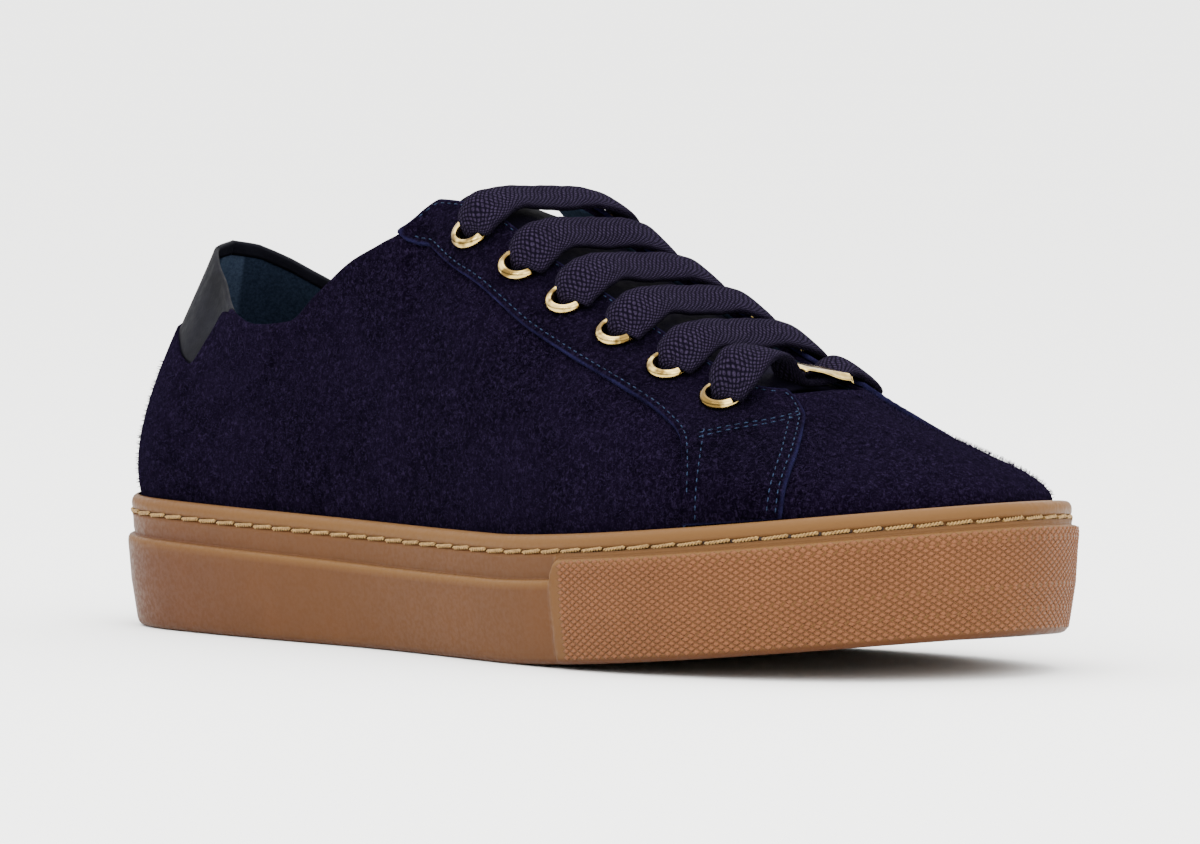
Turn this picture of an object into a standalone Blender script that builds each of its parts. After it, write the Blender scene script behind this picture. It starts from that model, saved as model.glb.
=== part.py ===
"""Low-top lace-up sneaker, the right shoe of a pair, as the separate pieces that a shoemaker puts together.

Frame: +X to the toe, +Y to the inner (medial) side of the foot, +Z up, floor at Z = 0.
Sizes are in millimetres, and become metres when a mesh is written.
A place round the shoe is given by its turn: 0 at the back of the heel, pi at the toe and 2 pi at the heel
again, with the outer (lateral) side first. A share is a distance from the heel as part of the length.
"""

import math

import bmesh
import bpy
import numpy as np

MM = 0.001
LENGTH = 300.0
GAP = 0.3

# Sole
HEEL_ROUND = 74.7
TOE_ROUND = 70.3
TOE_CENTRE = 7.2
SPRING_FROM = 175.0
TOE_SPRING = 10.8
SPRING_POWER = 1.4
DRAFT = 2.4
BOTTOM_ROUND = 2.5
WRAP_FROM = 200.0
WRAP_PROUD = 0.7
WRAP_BELOW_TOP = 6.2
RIM_ROUND = 0.7
LEDGE = 1.3
LEDGE_RISE = 0.4
STITCH_BELOW_TOP = 4.2
GROOVE_DEPTH = 1.1
GROOVE_HALF = 0.85
ROLL_INSET = 1.0

# Upper
WALL = 2.0
OVERLAY = 1.1
TAB_SUNK = 0.15
TAB_THICK = 0.8
TAB_RECESS = 1.3
TAB_SPARE = 0.012
CUTTER_REACH = 6.0

# Insole and tongue
INSOLE_THICK = 4.0
INSOLE_CLEAR = 0.4
INSOLE_ROUND = 0.8
TONGUE_THICK = 3.0
TONGUE_CLEAR = 0.8
TONGUE_TOP = (0.458, 0.535)
TONGUE_FRONT = 0.880
TONGUE_TUCK = (13.0, 8.0, 3.0, 0.0)
TONGUE_TUCKED_TOP = 0.3
TONGUE_ARCH = 3.0
TONGUE_CURL = 5.5

# Eyelets, lace and tag
EYELETS = 6
EYELET_ROW = (0.508, 0.830)
EYELET_FROM_EDGE = (10.6, 12.4)
EYELET_RADIUS = 5.5
EYELET_BORE = 3.0
EYELET_WALL = 0.5
EYELET_HEIGHT = 1.5
EYELET_ROLL = 1.4
FLANGE_CLEAR = 0.8
LACE_WIDTH = 9.0
LACE_THICK = 2.0
LACE_UNDER = 0.6
LACE_CROWN = 0.5
LACE_HOLLOW = 0.3
BAR_CLEAR = (1.7, 0.6, 0.5, 0.15, 0.0, 0.0)
BAR_ARCH = 6.4
BAR_POWER = 4.0
BAR_TWIST = (18.0, 18.0, 18.0, 18.0, 18.0, -16.0)
BAR_DIP = (0.0, 0.0, 0.0, 0.0, 0.0, 4.0)
BAR_ACROSS = (-1.0, -0.4, 0.4, 1.0)
TAG_LENGTH = 15.0
TAG_WIDTH = 9.4
TAG_AT = 0.56
TAG_THICK = 1.0
TAG_RIM = 0.5


def table(columns, *rows):
    """A short table, as one array for each named column."""
    return dict(zip(columns.split(), np.array(rows, float).T))


# The sole's widest outline: half its width, and how far its middle lies to the inner side.
OUTLINE = table(
    "share half_width centre",
    (0.06, 32.2, 0.0),
    (0.14, 38.9, 0.0),
    (0.27, 40.7, -1.3),
    (0.40, 41.4, -2.5),
    (0.52, 46.3, -2.8),
    (0.62, 52.2, -1.5),
    (0.71, 55.3, 0.0),
    (0.80, 54.0, 2.0),
    (0.88, 47.6, 4.2),
    (0.94, 37.4, 5.9),
)

# Heights over the sole's own underside, and how far in from the outline the cup's wall stands.
SOLE_SIDE = table(
    "share top band floor cup",
    (0.00, 34.0, 23.8, 19.0, 2.8),
    (0.08, 33.7, 23.4, 18.5, 3.2),
    (0.25, 32.9, 22.3, 17.5, 5.2),
    (0.50, 31.9, 20.9, 14.5, 5.3),
    (0.75, 32.0, 20.9, 12.5, 5.3),
    (1.00, 32.3, 20.9, 12.0, 5.3),
)

# The opening's edge, from the back of the heel to the middle of the throat's front, and the section below it.
# x, out, mid, z: place of the edge, with out measured from the middle line mid.
# bulge: how far the wall swells out. low: height of the lower handle as a share of the section's height.
# slope: rise of the section at the edge in degrees. pull: length of the handle there.
SECTIONS = table(
    "share x out mid z bulge low slope pull",
    (0.000, 20.5, 0.0, 0.0, 99.2, 4.5, 0.29, 67, 22),
    (0.030, 23.0, 7.8, 0.0, 97.8, 4.5, 0.29, 68, 22),
    (0.070, 29.0, 13.4, 0.0, 94.5, 4.5, 0.29, 70, 22),
    (0.120, 36.5, 17.9, 0.0, 90.0, 4.0, 0.31, 75, 20),
    (0.180, 50.5, 26.6, 0.0, 81.7, 2.8, 0.36, 82, 18),
    (0.230, 64.0, 30.8, 0.0, 79.1, 2.0, 0.40, 85, 18),
    (0.280, 79.0, 32.6, 0.0, 80.4, 2.0, 0.40, 86, 18),
    (0.320, 90.0, 33.2, 0.2, 87.7, 2.0, 0.40, 84, 20),
    (0.360, 102.0, 33.2, 0.5, 96.0, 2.0, 0.42, 78, 24),
    (0.395, 113.0, 32.4, 0.9, 101.3, 2.0, 0.44, 70, 26),
    (0.415, 118.5, 30.5, 1.2, 104.4, 2.0, 0.45, 62, 27),
    (0.435, 120.0, 25.0, 1.1, 108.2, 2.0, 0.46, 50, 28),
    (0.455, 123.0, 20.5, 0.9, 111.2, 2.0, 0.48, 42, 28),
    (0.500, 134.5, 20.0, 0.9, 110.3, 2.0, 0.50, 38, 28),
    (0.600, 160.5, 19.8, 0.9, 98.4, 2.0, 0.52, 37, 27),
    (0.700, 188.0, 19.6, 0.9, 86.6, 2.0, 0.52, 36, 26),
    (0.800, 214.5, 19.2, 0.9, 75.2, 2.0, 0.44, 36, 25),
    (0.880, 234.5, 18.0, 1.4, 68.2, 1.0, 0.35, 34, 24),
    (0.905, 238.5, 14.5, 1.8, 67.6, 0.3, 0.35, 31, 24),
    (0.950, 240.0, 6.5, 2.0, 67.9, -0.5, 0.32, 27, 25),
    (1.000, 240.0, 0.0, 2.2, 68.1, 0.0, 0.35, 26, 25),
)

# The facing: how far it reaches down from the throat's edge, before its strap runs on down to the sole.
FACING = table(
    "share reach",
    (0.412, 0.8),
    (0.427, 6.7),
    (0.455, 15.5),
    (0.505, 23.0),
    (0.570, 25.9),
    (0.630, 27.1),
    (0.750, 28.4),
    (0.781, 31.0),
    (0.791, 34.0),
    (0.796, 40.0),
    (0.799, 50.0),
)
STRAP_REAR = 0.800

# The strap's front edge, up the section.
STRAP_FRONT = table(
    "s share",
    (0.00, 0.885),
    (0.20, 0.888),
    (0.40, 0.895),
    (0.63, 0.908),
    (0.75, 0.916),
    (0.83, 0.921),
    (0.93, 0.917),
    (1.00, 0.905),
)

# The inner side: its facing lies nearer to the middle and is steeper, and its strap lies further back.
MEDIAL = table(
    "share nearer steeper back",
    (0.000, 0.0, 0, 0.000),
    (0.430, 0.0, 0, 0.000),
    (0.460, 1.5, 4, 0.000),
    (0.520, 4.2, 10, 0.000),
    (0.630, 5.0, 12, 0.000),
    (0.800, 5.0, 12, 0.014),
    (0.885, 3.2, 7, 0.022),
    (0.925, 1.2, 4, 0.016),
    (1.000, 0.0, 0, 0.016),
)

# Shares at which a corner of the opening or of the heel tab crosses the side.
TAB_TIP = 0.110
TAB_END = 0.172
CORNERS = (TAB_TIP, TAB_END, 0.412, 0.427, 0.441, 0.455, 0.880, 0.905)

# The heel tab's lower edge, as a share of the section's height.
HEEL_TAB = table(
    "share low",
    (0.000, 0.680),
    (0.025, 0.672),
    (0.060, 0.652),
    (0.090, 0.618),
    (TAB_TIP, 0.608),
    (0.132, 0.767),
    (0.154, 0.930),
    (TAB_END, 0.970),
)


def line(xs, ys):
    """A curve through the points that never overshoots them."""
    steps = np.diff(xs)
    rises = np.diff(ys) / steps
    same = rises[:-1] * rises[1:] > 0
    mean = 2 * rises[:-1] * rises[1:] / np.where(same, rises[:-1] + rises[1:], 1)
    slopes = np.concatenate([rises[:1], np.where(same, mean, 0), rises[-1:]])
    return hermite(xs, ys, slopes)


def spline(xs, ys):
    """A natural cubic spline through the points."""
    count = len(xs)
    steps = np.diff(xs)
    rises = np.diff(ys) / steps
    system = 2 * np.eye(count)
    right = np.concatenate([[3 * rises[0]], np.zeros(count - 2), [3 * rises[-1]]])
    system[0, 1] = 1
    system[-1, -2] = 1
    for i in range(1, count - 1):
        system[i, i - 1 : i + 2] = steps[i], 2 * (steps[i - 1] + steps[i]), steps[i - 1]
        right[i] = 3 * (steps[i] * rises[i - 1] + steps[i - 1] * rises[i])
    return hermite(xs, ys, np.linalg.solve(system, right))


def hermite(xs, ys, slopes):
    """A piecewise cubic with the given slopes, held at its ends."""

    def at(x):
        x = np.clip(x, xs[0], xs[-1])
        i = np.clip(np.searchsorted(xs, x, side="right") - 1, 0, len(xs) - 2)
        step = xs[i + 1] - xs[i]
        t = (x - xs[i]) / step
        rise = ys[i + 1] - ys[i]
        curl_in = step * slopes[i] - rise
        curl_out = rise - step * slopes[i + 1]
        return ys[i] + t * rise + t * (1 - t) * ((1 - t) * curl_in + t * curl_out)

    return at


def angle(share):
    """The turn, from 0 to pi, at which the outline reaches this share of the length."""
    return np.arccos(1 - 2 * np.asarray(share, float))


def outline_curves():
    at = angle(OUTLINE["share"])
    turns = np.concatenate([[0], at, [math.pi]])
    width = np.concatenate([[HEEL_ROUND], OUTLINE["half_width"] / np.sin(at), [TOE_ROUND]])
    centre = np.concatenate([[0], OUTLINE["centre"], [TOE_CENTRE]])
    return spline(turns, width), spline(turns, centre)


half_width_at, centre_at = outline_curves()
band_at = line(SOLE_SIDE["share"] * LENGTH, SOLE_SIDE["band"])
top_at = line(SOLE_SIDE["share"] * LENGTH, SOLE_SIDE["top"])
floor_at = line(SOLE_SIDE["share"] * LENGTH, SOLE_SIDE["floor"])
cup_at = line(angle(SOLE_SIDE["share"]), SOLE_SIDE["cup"])
section_at = {name: line(angle(SECTIONS["share"]), SECTIONS[name]) for name in SECTIONS}
facing_at = line(angle(FACING["share"]), FACING["reach"])
strap_front_at = line(STRAP_FRONT["s"], angle(STRAP_FRONT["share"]))
nearer_at = line(angle(MEDIAL["share"]), MEDIAL["nearer"])
steeper_at = line(angle(MEDIAL["share"]), MEDIAL["steeper"])
back_at = line(angle(MEDIAL["share"]), angle(MEDIAL["share"]) - angle(MEDIAL["share"] - MEDIAL["back"]))
tab_at = line(angle(HEEL_TAB["share"]), HEEL_TAB["low"])


def fold(turn):
    """The turn as it is on the lateral side, and the side: -1 lateral, +1 medial."""
    turn = np.mod(turn, 2 * math.pi)
    lateral = turn <= math.pi
    return np.where(lateral, turn, 2 * math.pi - turn), np.where(lateral, -1.0, 1.0)


def edge_point(turn):
    half, side = fold(turn)
    x = LENGTH / 2 * (1 - np.cos(half))
    return np.stack([x, centre_at(half) + side * half_width_at(half) * np.sin(half)], -1)


def outline(turn, inset):
    """Points of the sole's outline in plan, moved inwards by the inset."""
    small = 1e-4
    along = edge_point(turn + small) - edge_point(turn - small)
    along /= np.linalg.norm(along, axis=-1, keepdims=True)
    inwards = np.stack([-along[..., 1], along[..., 0]], -1)
    return edge_point(turn) + inwards * np.asarray(inset)[..., None]


def spring(x):
    """Height of the sole's underside over the floor: flat from the heel to the ball, then rising to the toe."""
    past = np.clip((x - SPRING_FROM) / (LENGTH - SPRING_FROM), 0, 1.1)
    return TOE_SPRING * past**SPRING_POWER


def ring(turns, inset, height):
    """A closed row of points round the shoe, at a height over the sole's underside given by a function of x."""
    flat = outline(turns, np.broadcast_to(inset, turns.shape))
    x = flat[:, 0]
    return np.column_stack([flat, spring(x) + height(x)])


def side_stations():
    """Turns along one side, from the heel to the toe, with one at each corner that crosses the side."""
    border = angle(WRAP_FROM / LENGTH)
    corners = np.array([*angle(CORNERS), border - 0.003, border + 0.003])
    even = np.linspace(0, math.pi, 29)
    apart = np.min(abs(even[:, None] - corners), axis=1)
    return np.sort(np.concatenate([even[apart > 0.04], corners]))


SIDE = side_stations()
STATIONS = np.concatenate([SIDE, 2 * math.pi - SIDE[-2:0:-1]])
ROWS = np.linspace(0, 1, 8)
CUP = cup_at(fold(STATIONS)[0])


def side_between(start, end):
    """The stations of one side between two shares, both of which are stations."""
    return SIDE[(SIDE > angle(start) - 1e-6) & (SIDE < angle(end) + 1e-6)]


# Upper surface


def upper_point(turn, s):
    """A point of the upper's outer face: s is 0 at the sole's top edge and 1 at the opening's edge."""
    turn, s = np.broadcast_arrays(np.asarray(turn, float), np.asarray(s, float))
    half, side = fold(turn)
    column = {name: section_at[name](half) for name in section_at}
    foot = outline(turn, cup_at(half) + GAP)
    base = spring(foot[..., 0]) + top_at(foot[..., 0])
    inner = side > 0
    edge = np.stack([column["x"], column["mid"] + side * (column["out"] - inner * nearer_at(half))], -1)
    inwards = edge - foot
    reach = np.linalg.norm(inwards, axis=-1)
    inwards /= reach[..., None]
    rise = column["z"] - base
    steep = np.radians(column["slope"] + inner * steeper_at(half))
    out = (0, -column["bulge"], reach - column["pull"] * np.cos(steep), reach)
    up = (0, column["low"] * rise, rise - column["pull"] * np.sin(steep), rise)
    weights = ((1 - s) ** 3, 3 * s * (1 - s) ** 2, 3 * s * s * (1 - s), s**3)
    across = sum(w * o for w, o in zip(weights, out))
    height = sum(w * u for w, u in zip(weights, up))
    return np.concatenate([foot + inwards * across[..., None], (base + height)[..., None]], -1)


def upper_normal(turn, s):
    small = 1e-3
    around = upper_point(turn + small, s) - upper_point(turn - small, s)
    upwards = upper_point(turn, s + small) - upper_point(turn, s - small)
    normal = np.cross(around, upwards)
    return normal / np.linalg.norm(normal, axis=-1, keepdims=True)


def on_upper(turn, s, height=0.0):
    """A point at this height over the upper's outer face."""
    turn, s = np.broadcast_arrays(np.asarray(turn, float), np.asarray(s, float))
    return upper_point(turn, s) + upper_normal(turn, s) * np.asarray(height)[..., None]


def s_below_edge(turn, distance):
    """The s that lies this far below the opening's edge, measured along the upper."""
    samples = np.linspace(1, 0, 81)
    points = upper_point(np.full(81, turn), samples)
    walked = np.concatenate([[0], np.cumsum(np.linalg.norm(np.diff(points, axis=0), axis=1))])
    return np.interp(distance, walked, samples)


def s_above_sole(turn, distance):
    """The s that lies this far above the sole's top edge."""
    samples = np.linspace(0, 1, 81)
    points = upper_point(np.full(81, turn), samples)
    walked = np.concatenate([[0], np.cumsum(np.linalg.norm(np.diff(points, axis=0), axis=1))])
    return np.interp(distance, walked, samples)


# Solids


def material(name, colour, roughness, metallic=0.0):
    made = bpy.data.materials.new(name)
    made.use_nodes = True
    shader = made.node_tree.nodes["Principled BSDF"]
    shader.inputs["Base Color"].default_value = (*colour, 1)
    shader.inputs["Roughness"].default_value = roughness
    shader.inputs["Metallic"].default_value = metallic
    return made


def place():
    """What moves the middle of the sole's plan onto the origin."""
    widest = ring(STATIONS, side_inset(0.0), lambda x: 0 * x)
    low, high = widest.min(axis=0), widest.max(axis=0)
    return np.array([-(low[0] + high[0]) / 2, -(low[1] + high[1]) / 2, 0])


def solid(name, points, faces, finish):
    """Writes one closed body, with its faces turned outwards."""
    mesh = bpy.data.meshes.new(name)
    mesh.from_pydata(((points + ORIGIN) * MM).tolist(), [], faces)
    made = bpy.data.objects.new(name, mesh)
    bpy.context.scene.collection.objects.link(made)
    mesh.materials.append(finish)
    shape = bmesh.new()
    shape.from_mesh(mesh)
    bmesh.ops.triangulate(shape, faces=shape.faces)
    bmesh.ops.recalc_face_normals(shape, faces=shape.faces)
    shape.to_mesh(mesh)
    shape.free()
    mesh.shade_smooth()
    mesh.set_sharp_from_angle(angle=math.radians(35))
    return made


def joined_rings(rings, closed):
    """Faces between rows of equal length; closed joins the last row to the first."""
    count = len(rings[0])
    faces = []
    for row in range(len(rings) if closed else len(rings) - 1):
        here = row * count
        there = (row + 1) % len(rings) * count
        for i in range(count):
            j = (i + 1) % count
            faces.append((here + i, here + j, there + j, there + i))
    return faces


def ladder(count, start):
    """Faces that fill a row round the shoe with strips across it, from the heel to the toe."""
    half = count // 2
    faces = [(start, start + 1, start + count - 1)]
    for i in range(1, half - 1):
        faces.append((start + i, start + i + 1, start + count - i - 1, start + count - i))
    faces.append((start + half - 1, start + half, start + half + 1))
    return faces


def ring_solid(name, rings, finish):
    """A body that is skinned over rows round the shoe, and closed across its first and last row."""
    count = len(rings[0])
    faces = joined_rings(rings, False) + ladder(count, 0) + ladder(count, (len(rings) - 1) * count)
    return solid(name, np.concatenate(rings), faces, finish)


def slab(name, top, bottom, finish):
    """A body between two grids of points of the same size."""
    rows, columns = top.shape[:2]
    under = rows * columns
    points = np.concatenate([top.reshape(-1, 3), bottom.reshape(-1, 3)])
    faces = []
    for r in range(rows - 1):
        for c in range(columns - 1):
            a = r * columns + c
            face = (a, a + 1, a + columns + 1, a + columns)
            faces.append(face)
            faces.append(tuple(under + i for i in reversed(face)))
    rim = list(range(columns))
    rim += [r * columns + columns - 1 for r in range(1, rows)]
    rim += [(rows - 1) * columns + c for c in range(columns - 2, -1, -1)]
    rim += [r * columns for r in range(rows - 2, 0, -1)]
    for a, b in zip(rim, rim[1:] + rim[:1]):
        faces.append((b, a, under + a, under + b))
    return solid(name, points, faces, finish)


def cut(body, cutter, operation="DIFFERENCE"):
    """Takes the cutter's shape out of the body, or keeps only what lies in it."""
    cutter.hide_render = True
    cutter.display_type = "WIRE"
    step = body.modifiers.new("cut", "BOOLEAN")
    step.object = cutter
    step.operation = operation
    step.solver = "EXACT"


# Sole: underside, side wall with its steps, rolled top edge, cup


def wrapped(turns):
    """1 where the raised wrap goes round the toe, else 0."""
    return (outline(turns, np.zeros(turns.shape))[:, 0] > WRAP_FROM).astype(float)


def side_inset(inset):
    """An inset of the side wall, less what the toe wrap stands proud."""
    return inset - WRAP_PROUD * wrapped(STATIONS)


def sole():
    wrap = wrapped(STATIONS)
    wrap_rise = wrap * (top_at(LENGTH) - WRAP_BELOW_TOP - band_at(LENGTH))

    def from_top(drop):
        return lambda x: top_at(x) - drop

    def from_band(drop):
        return lambda x: band_at(x) + wrap_rise - drop

    def level(height):
        return lambda x: height + 0 * x

    rings = [
        ring(STATIONS, side_inset(DRAFT + 0.8 * BOTTOM_ROUND), level(0)),
        ring(STATIONS, side_inset(DRAFT + 0.1 * BOTTOM_ROUND), level(0.3 * BOTTOM_ROUND)),
        ring(STATIONS, side_inset(DRAFT - 0.1 * BOTTOM_ROUND), level(BOTTOM_ROUND)),
        ring(STATIONS, side_inset(0.0), from_band(RIM_ROUND)),
        ring(STATIONS, side_inset(RIM_ROUND), from_band(0.0)),
        ring(STATIONS, LEDGE, from_band(-LEDGE_RISE)),
        ring(STATIONS, ROLL_INSET, from_top(STITCH_BELOW_TOP + GROOVE_HALF)),
        ring(STATIONS, ROLL_INSET + GROOVE_DEPTH, from_top(STITCH_BELOW_TOP)),
        ring(STATIONS, ROLL_INSET, from_top(STITCH_BELOW_TOP - GROOVE_HALF)),
        ring(STATIONS, ROLL_INSET, from_top(1.6)),
        ring(STATIONS, ROLL_INSET + 0.8, from_top(0.5)),
        ring(STATIONS, (ROLL_INSET + CUP) / 2 + 0.3, from_top(0.0)),
        ring(STATIONS, CUP, from_top(0.4)),
        ring(STATIONS, CUP, floor_at),
    ]
    return ring_solid("sole", rings, GUM)


def insole():
    inset = CUP + GAP + WALL + INSOLE_CLEAR

    def raised(height):
        return lambda x: floor_at(x) + GAP + height

    rings = [
        ring(STATIONS, inset, raised(0.0)),
        ring(STATIONS, inset, raised(INSOLE_THICK - INSOLE_ROUND)),
        ring(STATIONS, inset + INSOLE_ROUND, raised(INSOLE_THICK)),
    ]
    return ring_solid("insole", rings, FOOTBED)


# Upper: one shell, from the cup's floor to the opening's edge


def upper():
    outer = [ring(STATIONS, CUP + GAP, lambda x: floor_at(x) + GAP)]
    inner = [ring(STATIONS, CUP + GAP + WALL, lambda x: floor_at(x) + GAP)]
    for s in ROWS:
        outer.append(on_upper(STATIONS, s))
        inner.append(on_upper(STATIONS, s, -WALL))
    rings = outer + inner[::-1]
    shell = solid("upper", np.concatenate(rings), joined_rings(rings, True), SUEDE)
    cut(shell, tab_cutter())
    for turn, s in eyelet_places():
        cut(shell, bore(turn, s))
    return shell


def tab_grid(height, spare):
    """The heel tab's grid, from its lower edge to the opening's edge, with spare all round in shares of s."""
    half = side_between(0, TAB_END)
    turns = np.concatenate([-half[:0:-1], half])
    turns[0] -= spare
    turns[-1] += spare
    low = tab_at(abs(turns)) - spare
    rows = np.linspace(0, 1, 6)[:, None]
    s = low + (1 + spare - low) * rows
    return on_upper(turns[None, :], s, height)


def tab_cutter():
    grids = [tab_grid(height, TAB_SPARE) for height in (CUTTER_REACH / 2, -TAB_RECESS)]
    return slab("tab_recess", *grids, LEATHER)


def heel_tab():
    grids = [tab_grid(-depth, 0.0) for depth in (TAB_SUNK, TAB_SUNK + TAB_THICK)]
    return slab("heel_tab", *grids, LEATHER)


# Eyestays: a layer of the upper's own form, of which the facing and its strap are kept


def side_layer(name, side, low, high):
    """A layer over one side of the upper, between two heights over its outer face."""
    turns = side_between(CORNERS[1], 1.0)
    if side > 0:
        turns = 2 * math.pi - turns
    grids = [on_upper(turns[:, None], ROWS, height) for height in (high, low)]
    return slab(name, *grids, SUEDE)


def on_side(half, side):
    """The turn of a place on one side's eyestay. The inner strap lies further back."""
    return half if side < 0 else 2 * math.pi - half + back_at(half)


def eyestay_outline(side, height):
    """A grid over the facing and its strap, reaching past the opening's edge."""
    columns = []
    rows = np.linspace(0, 1, 6)
    past = 1.02
    for half in [*angle(FACING["share"]), angle(STRAP_REAR)]:
        turn = on_side(half, side)
        low = s_above_sole(turn, 0.6)
        if half < angle(STRAP_REAR):
            low = max(low, s_below_edge(turn, facing_at(half)))
        columns.append(on_upper(np.full(len(rows), turn), low + (past - low) * rows, height))
    for across in (0.33, 0.67, 1.0):
        s = low + (past - low) * rows
        half = angle(STRAP_REAR) + (strap_front_at(s) - angle(STRAP_REAR)) * across
        columns.append(on_upper(on_side(half, side), s, height))
    return np.array(columns)


def eyestay(name, side):
    made = side_layer(name, side, GAP, GAP + OVERLAY)
    kept = slab("kept", eyestay_outline(side, CUTTER_REACH), eyestay_outline(side, -WALL), SUEDE)
    cut(made, kept, "INTERSECT")
    for turn, s in eyelet_places():
        if fold(turn)[1] == side:
            cut(made, bore(turn, s))
    return made


# Eyelets: a rolled flange over a short barrel


def eyelet_places():
    """Turn and s of each eyelet, lateral row first, from the collar to the toe."""
    halves = angle(np.linspace(*EYELET_ROW, EYELETS))
    distances = np.linspace(*EYELET_FROM_EDGE, EYELETS)
    places = [(half, s_below_edge(half, distance)) for half, distance in zip(halves, distances)]
    return places + [(2 * math.pi - half, s) for half, s in places]


def turned(turn, s, profile, sides=10):
    """Rows of points turned round the upper's normal at a place, from radii and heights over the upper."""
    axis = upper_normal(np.array(turn), np.array(s))
    across = np.cross(axis, (0, 0, 1.0))
    across /= np.linalg.norm(across)
    third = np.cross(axis, across)
    centre = upper_point(turn, s)
    spin = np.linspace(0, 2 * math.pi, sides, endpoint=False)
    circle = np.cos(spin)[:, None] * across + np.sin(spin)[:, None] * third
    return [centre + radius * circle + height * axis for radius, height in profile]


def bore(turn, s):
    """Cutter for the hole that an eyelet's barrel goes through."""
    radius = EYELET_BORE + EYELET_WALL + GAP
    rings = turned(turn, s, ((radius, CUTTER_REACH), (radius, -CUTTER_REACH)))
    count = len(rings[0])
    faces = joined_rings(rings, False) + [tuple(range(count)), tuple(range(count, 2 * count))]
    return solid("bore", np.concatenate(rings), faces, BRASS)


def eyelet(name, turn, s):
    seat = GAP + OVERLAY + FLANGE_CLEAR
    profile = (
        (EYELET_BORE, -WALL),
        (EYELET_BORE + EYELET_WALL, -WALL),
        (EYELET_BORE + EYELET_WALL, seat),
        (EYELET_RADIUS, seat),
        (EYELET_RADIUS - EYELET_ROLL, seat + EYELET_HEIGHT),
        (EYELET_BORE, seat + EYELET_HEIGHT / 2),
    )
    rings = turned(turn, s, profile)
    return solid(name, np.concatenate(rings), joined_rings(rings, True), BRASS)


# Tongue: under the throat, from under the vamp's edge to past the first bar. Its top edge runs askew.


def tongue_row(down, depth):
    """Points across the tongue at a share of the way from its top edge down to its front edge."""
    turns = [angle(top + (TONGUE_FRONT - top) * down) for top in TONGUE_TOP]
    turns[1] = 2 * math.pi - turns[1]
    wings = []
    for turn in turns:
        reach = TONGUE_TUCKED_TOP + (1 - TONGUE_TUCKED_TOP) * min(1, 4 * down)
        tucked = [s_below_edge(fold(turn)[0], distance * reach) for distance in TONGUE_TUCK]
        wings.append(on_upper(np.full(len(tucked), turn), np.array(tucked), depth))
    left, right = (wing[-1] for wing in wings)
    span = []
    for t in np.linspace(0, 1, 7)[1:-1]:
        curl = TONGUE_CURL * (1 - down) ** 4 * math.sin(math.pi * t**0.5) ** 2
        arch = TONGUE_ARCH * down * 4 * t * (1 - t)
        span.append(left + (right - left) * t + np.array([0, 0, curl + arch]))
    return np.concatenate([wings[0], span, wings[1][::-1]])


def tongue():
    under = -WALL - TONGUE_CLEAR
    rows = np.linspace(0, 1, 11)
    top = np.array([tongue_row(down, under) for down in rows])
    bottom = np.array([tongue_row(down, under - TONGUE_THICK) for down in rows])
    return slab("tongue", top, bottom, LEATHER)


# Lace: a flat bar from eyelet to eyelet, and the tag on the lowest one


def bar_frame(index):
    """Ends of a bar over its two eyelets, its width direction and its upward direction."""
    places = eyelet_places()
    height = GAP + OVERLAY + FLANGE_CLEAR + EYELET_HEIGHT + BAR_CLEAR[index]
    left = on_upper(*places[index], height)
    right = on_upper(*places[index + EYELETS], height)
    across = (right - left) / np.linalg.norm(right - left)
    slope = upper_point(places[index][0] + 0.05, 1.0) - upper_point(places[index][0] - 0.05, 1.0)
    width = slope - across * slope.dot(across)
    width /= np.linalg.norm(width)
    return left, right, width, np.cross(width, across)


def bar_grid(index, start, end, half_width, lift, count=13, crown=LACE_CROWN):
    """A strip along a bar between two shares of its length, lifted off its underside.

    The bar is level with its eyelets at both ends. Towards its middle it arches and twists about its rear edge.
    """
    left, right, width, up = bar_frame(index)
    rows = []
    for t in np.linspace(start, end, count):
        inner = 4 * t * (1 - t)
        twist = math.radians(BAR_TWIST[index]) * inner**2
        flat, out = width * math.cos(twist) - up * math.sin(twist), up * math.cos(twist) + width * math.sin(twist)
        rise = BAR_ARCH * (1 - abs(2 * t - 1) ** BAR_POWER) - BAR_DIP[index] * inner**3
        middle = left + (right - left) * t + np.array([0, 0, rise]) + (flat - width) * LACE_WIDTH / 2
        rows.append([middle + flat * half_width * w + out * (lift + crown * (1 - w * w)) for w in BAR_ACROSS])
    return np.array(rows)


def lace_bar(index):
    half = LACE_WIDTH / 2
    top = bar_grid(index, 0.0, 1.0, half, LACE_THICK)
    bottom = bar_grid(index, 0.0, 1.0, half, LACE_UNDER, crown=-LACE_HOLLOW)
    return slab(f"lace_bar_{index + 1}", top, bottom, LACE)


def lace_tag():
    left, right, width, up = bar_frame(EYELETS - 1)
    share = TAG_LENGTH / np.linalg.norm(right - left) / 2
    low = LACE_THICK + LACE_CROWN
    start, end = TAG_AT - share, TAG_AT + share
    half = TAG_WIDTH / 2
    top = bar_grid(EYELETS - 1, start, end, half, low + TAG_THICK, 7)
    bottom = bar_grid(EYELETS - 1, start, end, half, low, 7)
    for edge in (0, -1):
        top[:, edge] += up * TAG_RIM
    return slab("lace_tag", top, bottom, BRASS)


for old in list(bpy.data.objects):
    bpy.data.objects.remove(old, do_unlink=True)

ORIGIN = place()
GUM = material("gum_rubber", (0.42, 0.21, 0.10), 0.55)
FOOTBED = material("footbed", (0.04, 0.11, 0.15), 0.8)
SUEDE = material("navy_suede", (0.012, 0.009, 0.045), 0.95)
LEATHER = material("smooth_leather", (0.012, 0.014, 0.03), 0.4)
BRASS = material("gold_plate", (0.85, 0.60, 0.22), 0.2, 1.0)
LACE = material("cotton_lace", (0.012, 0.012, 0.035), 0.9)

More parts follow.
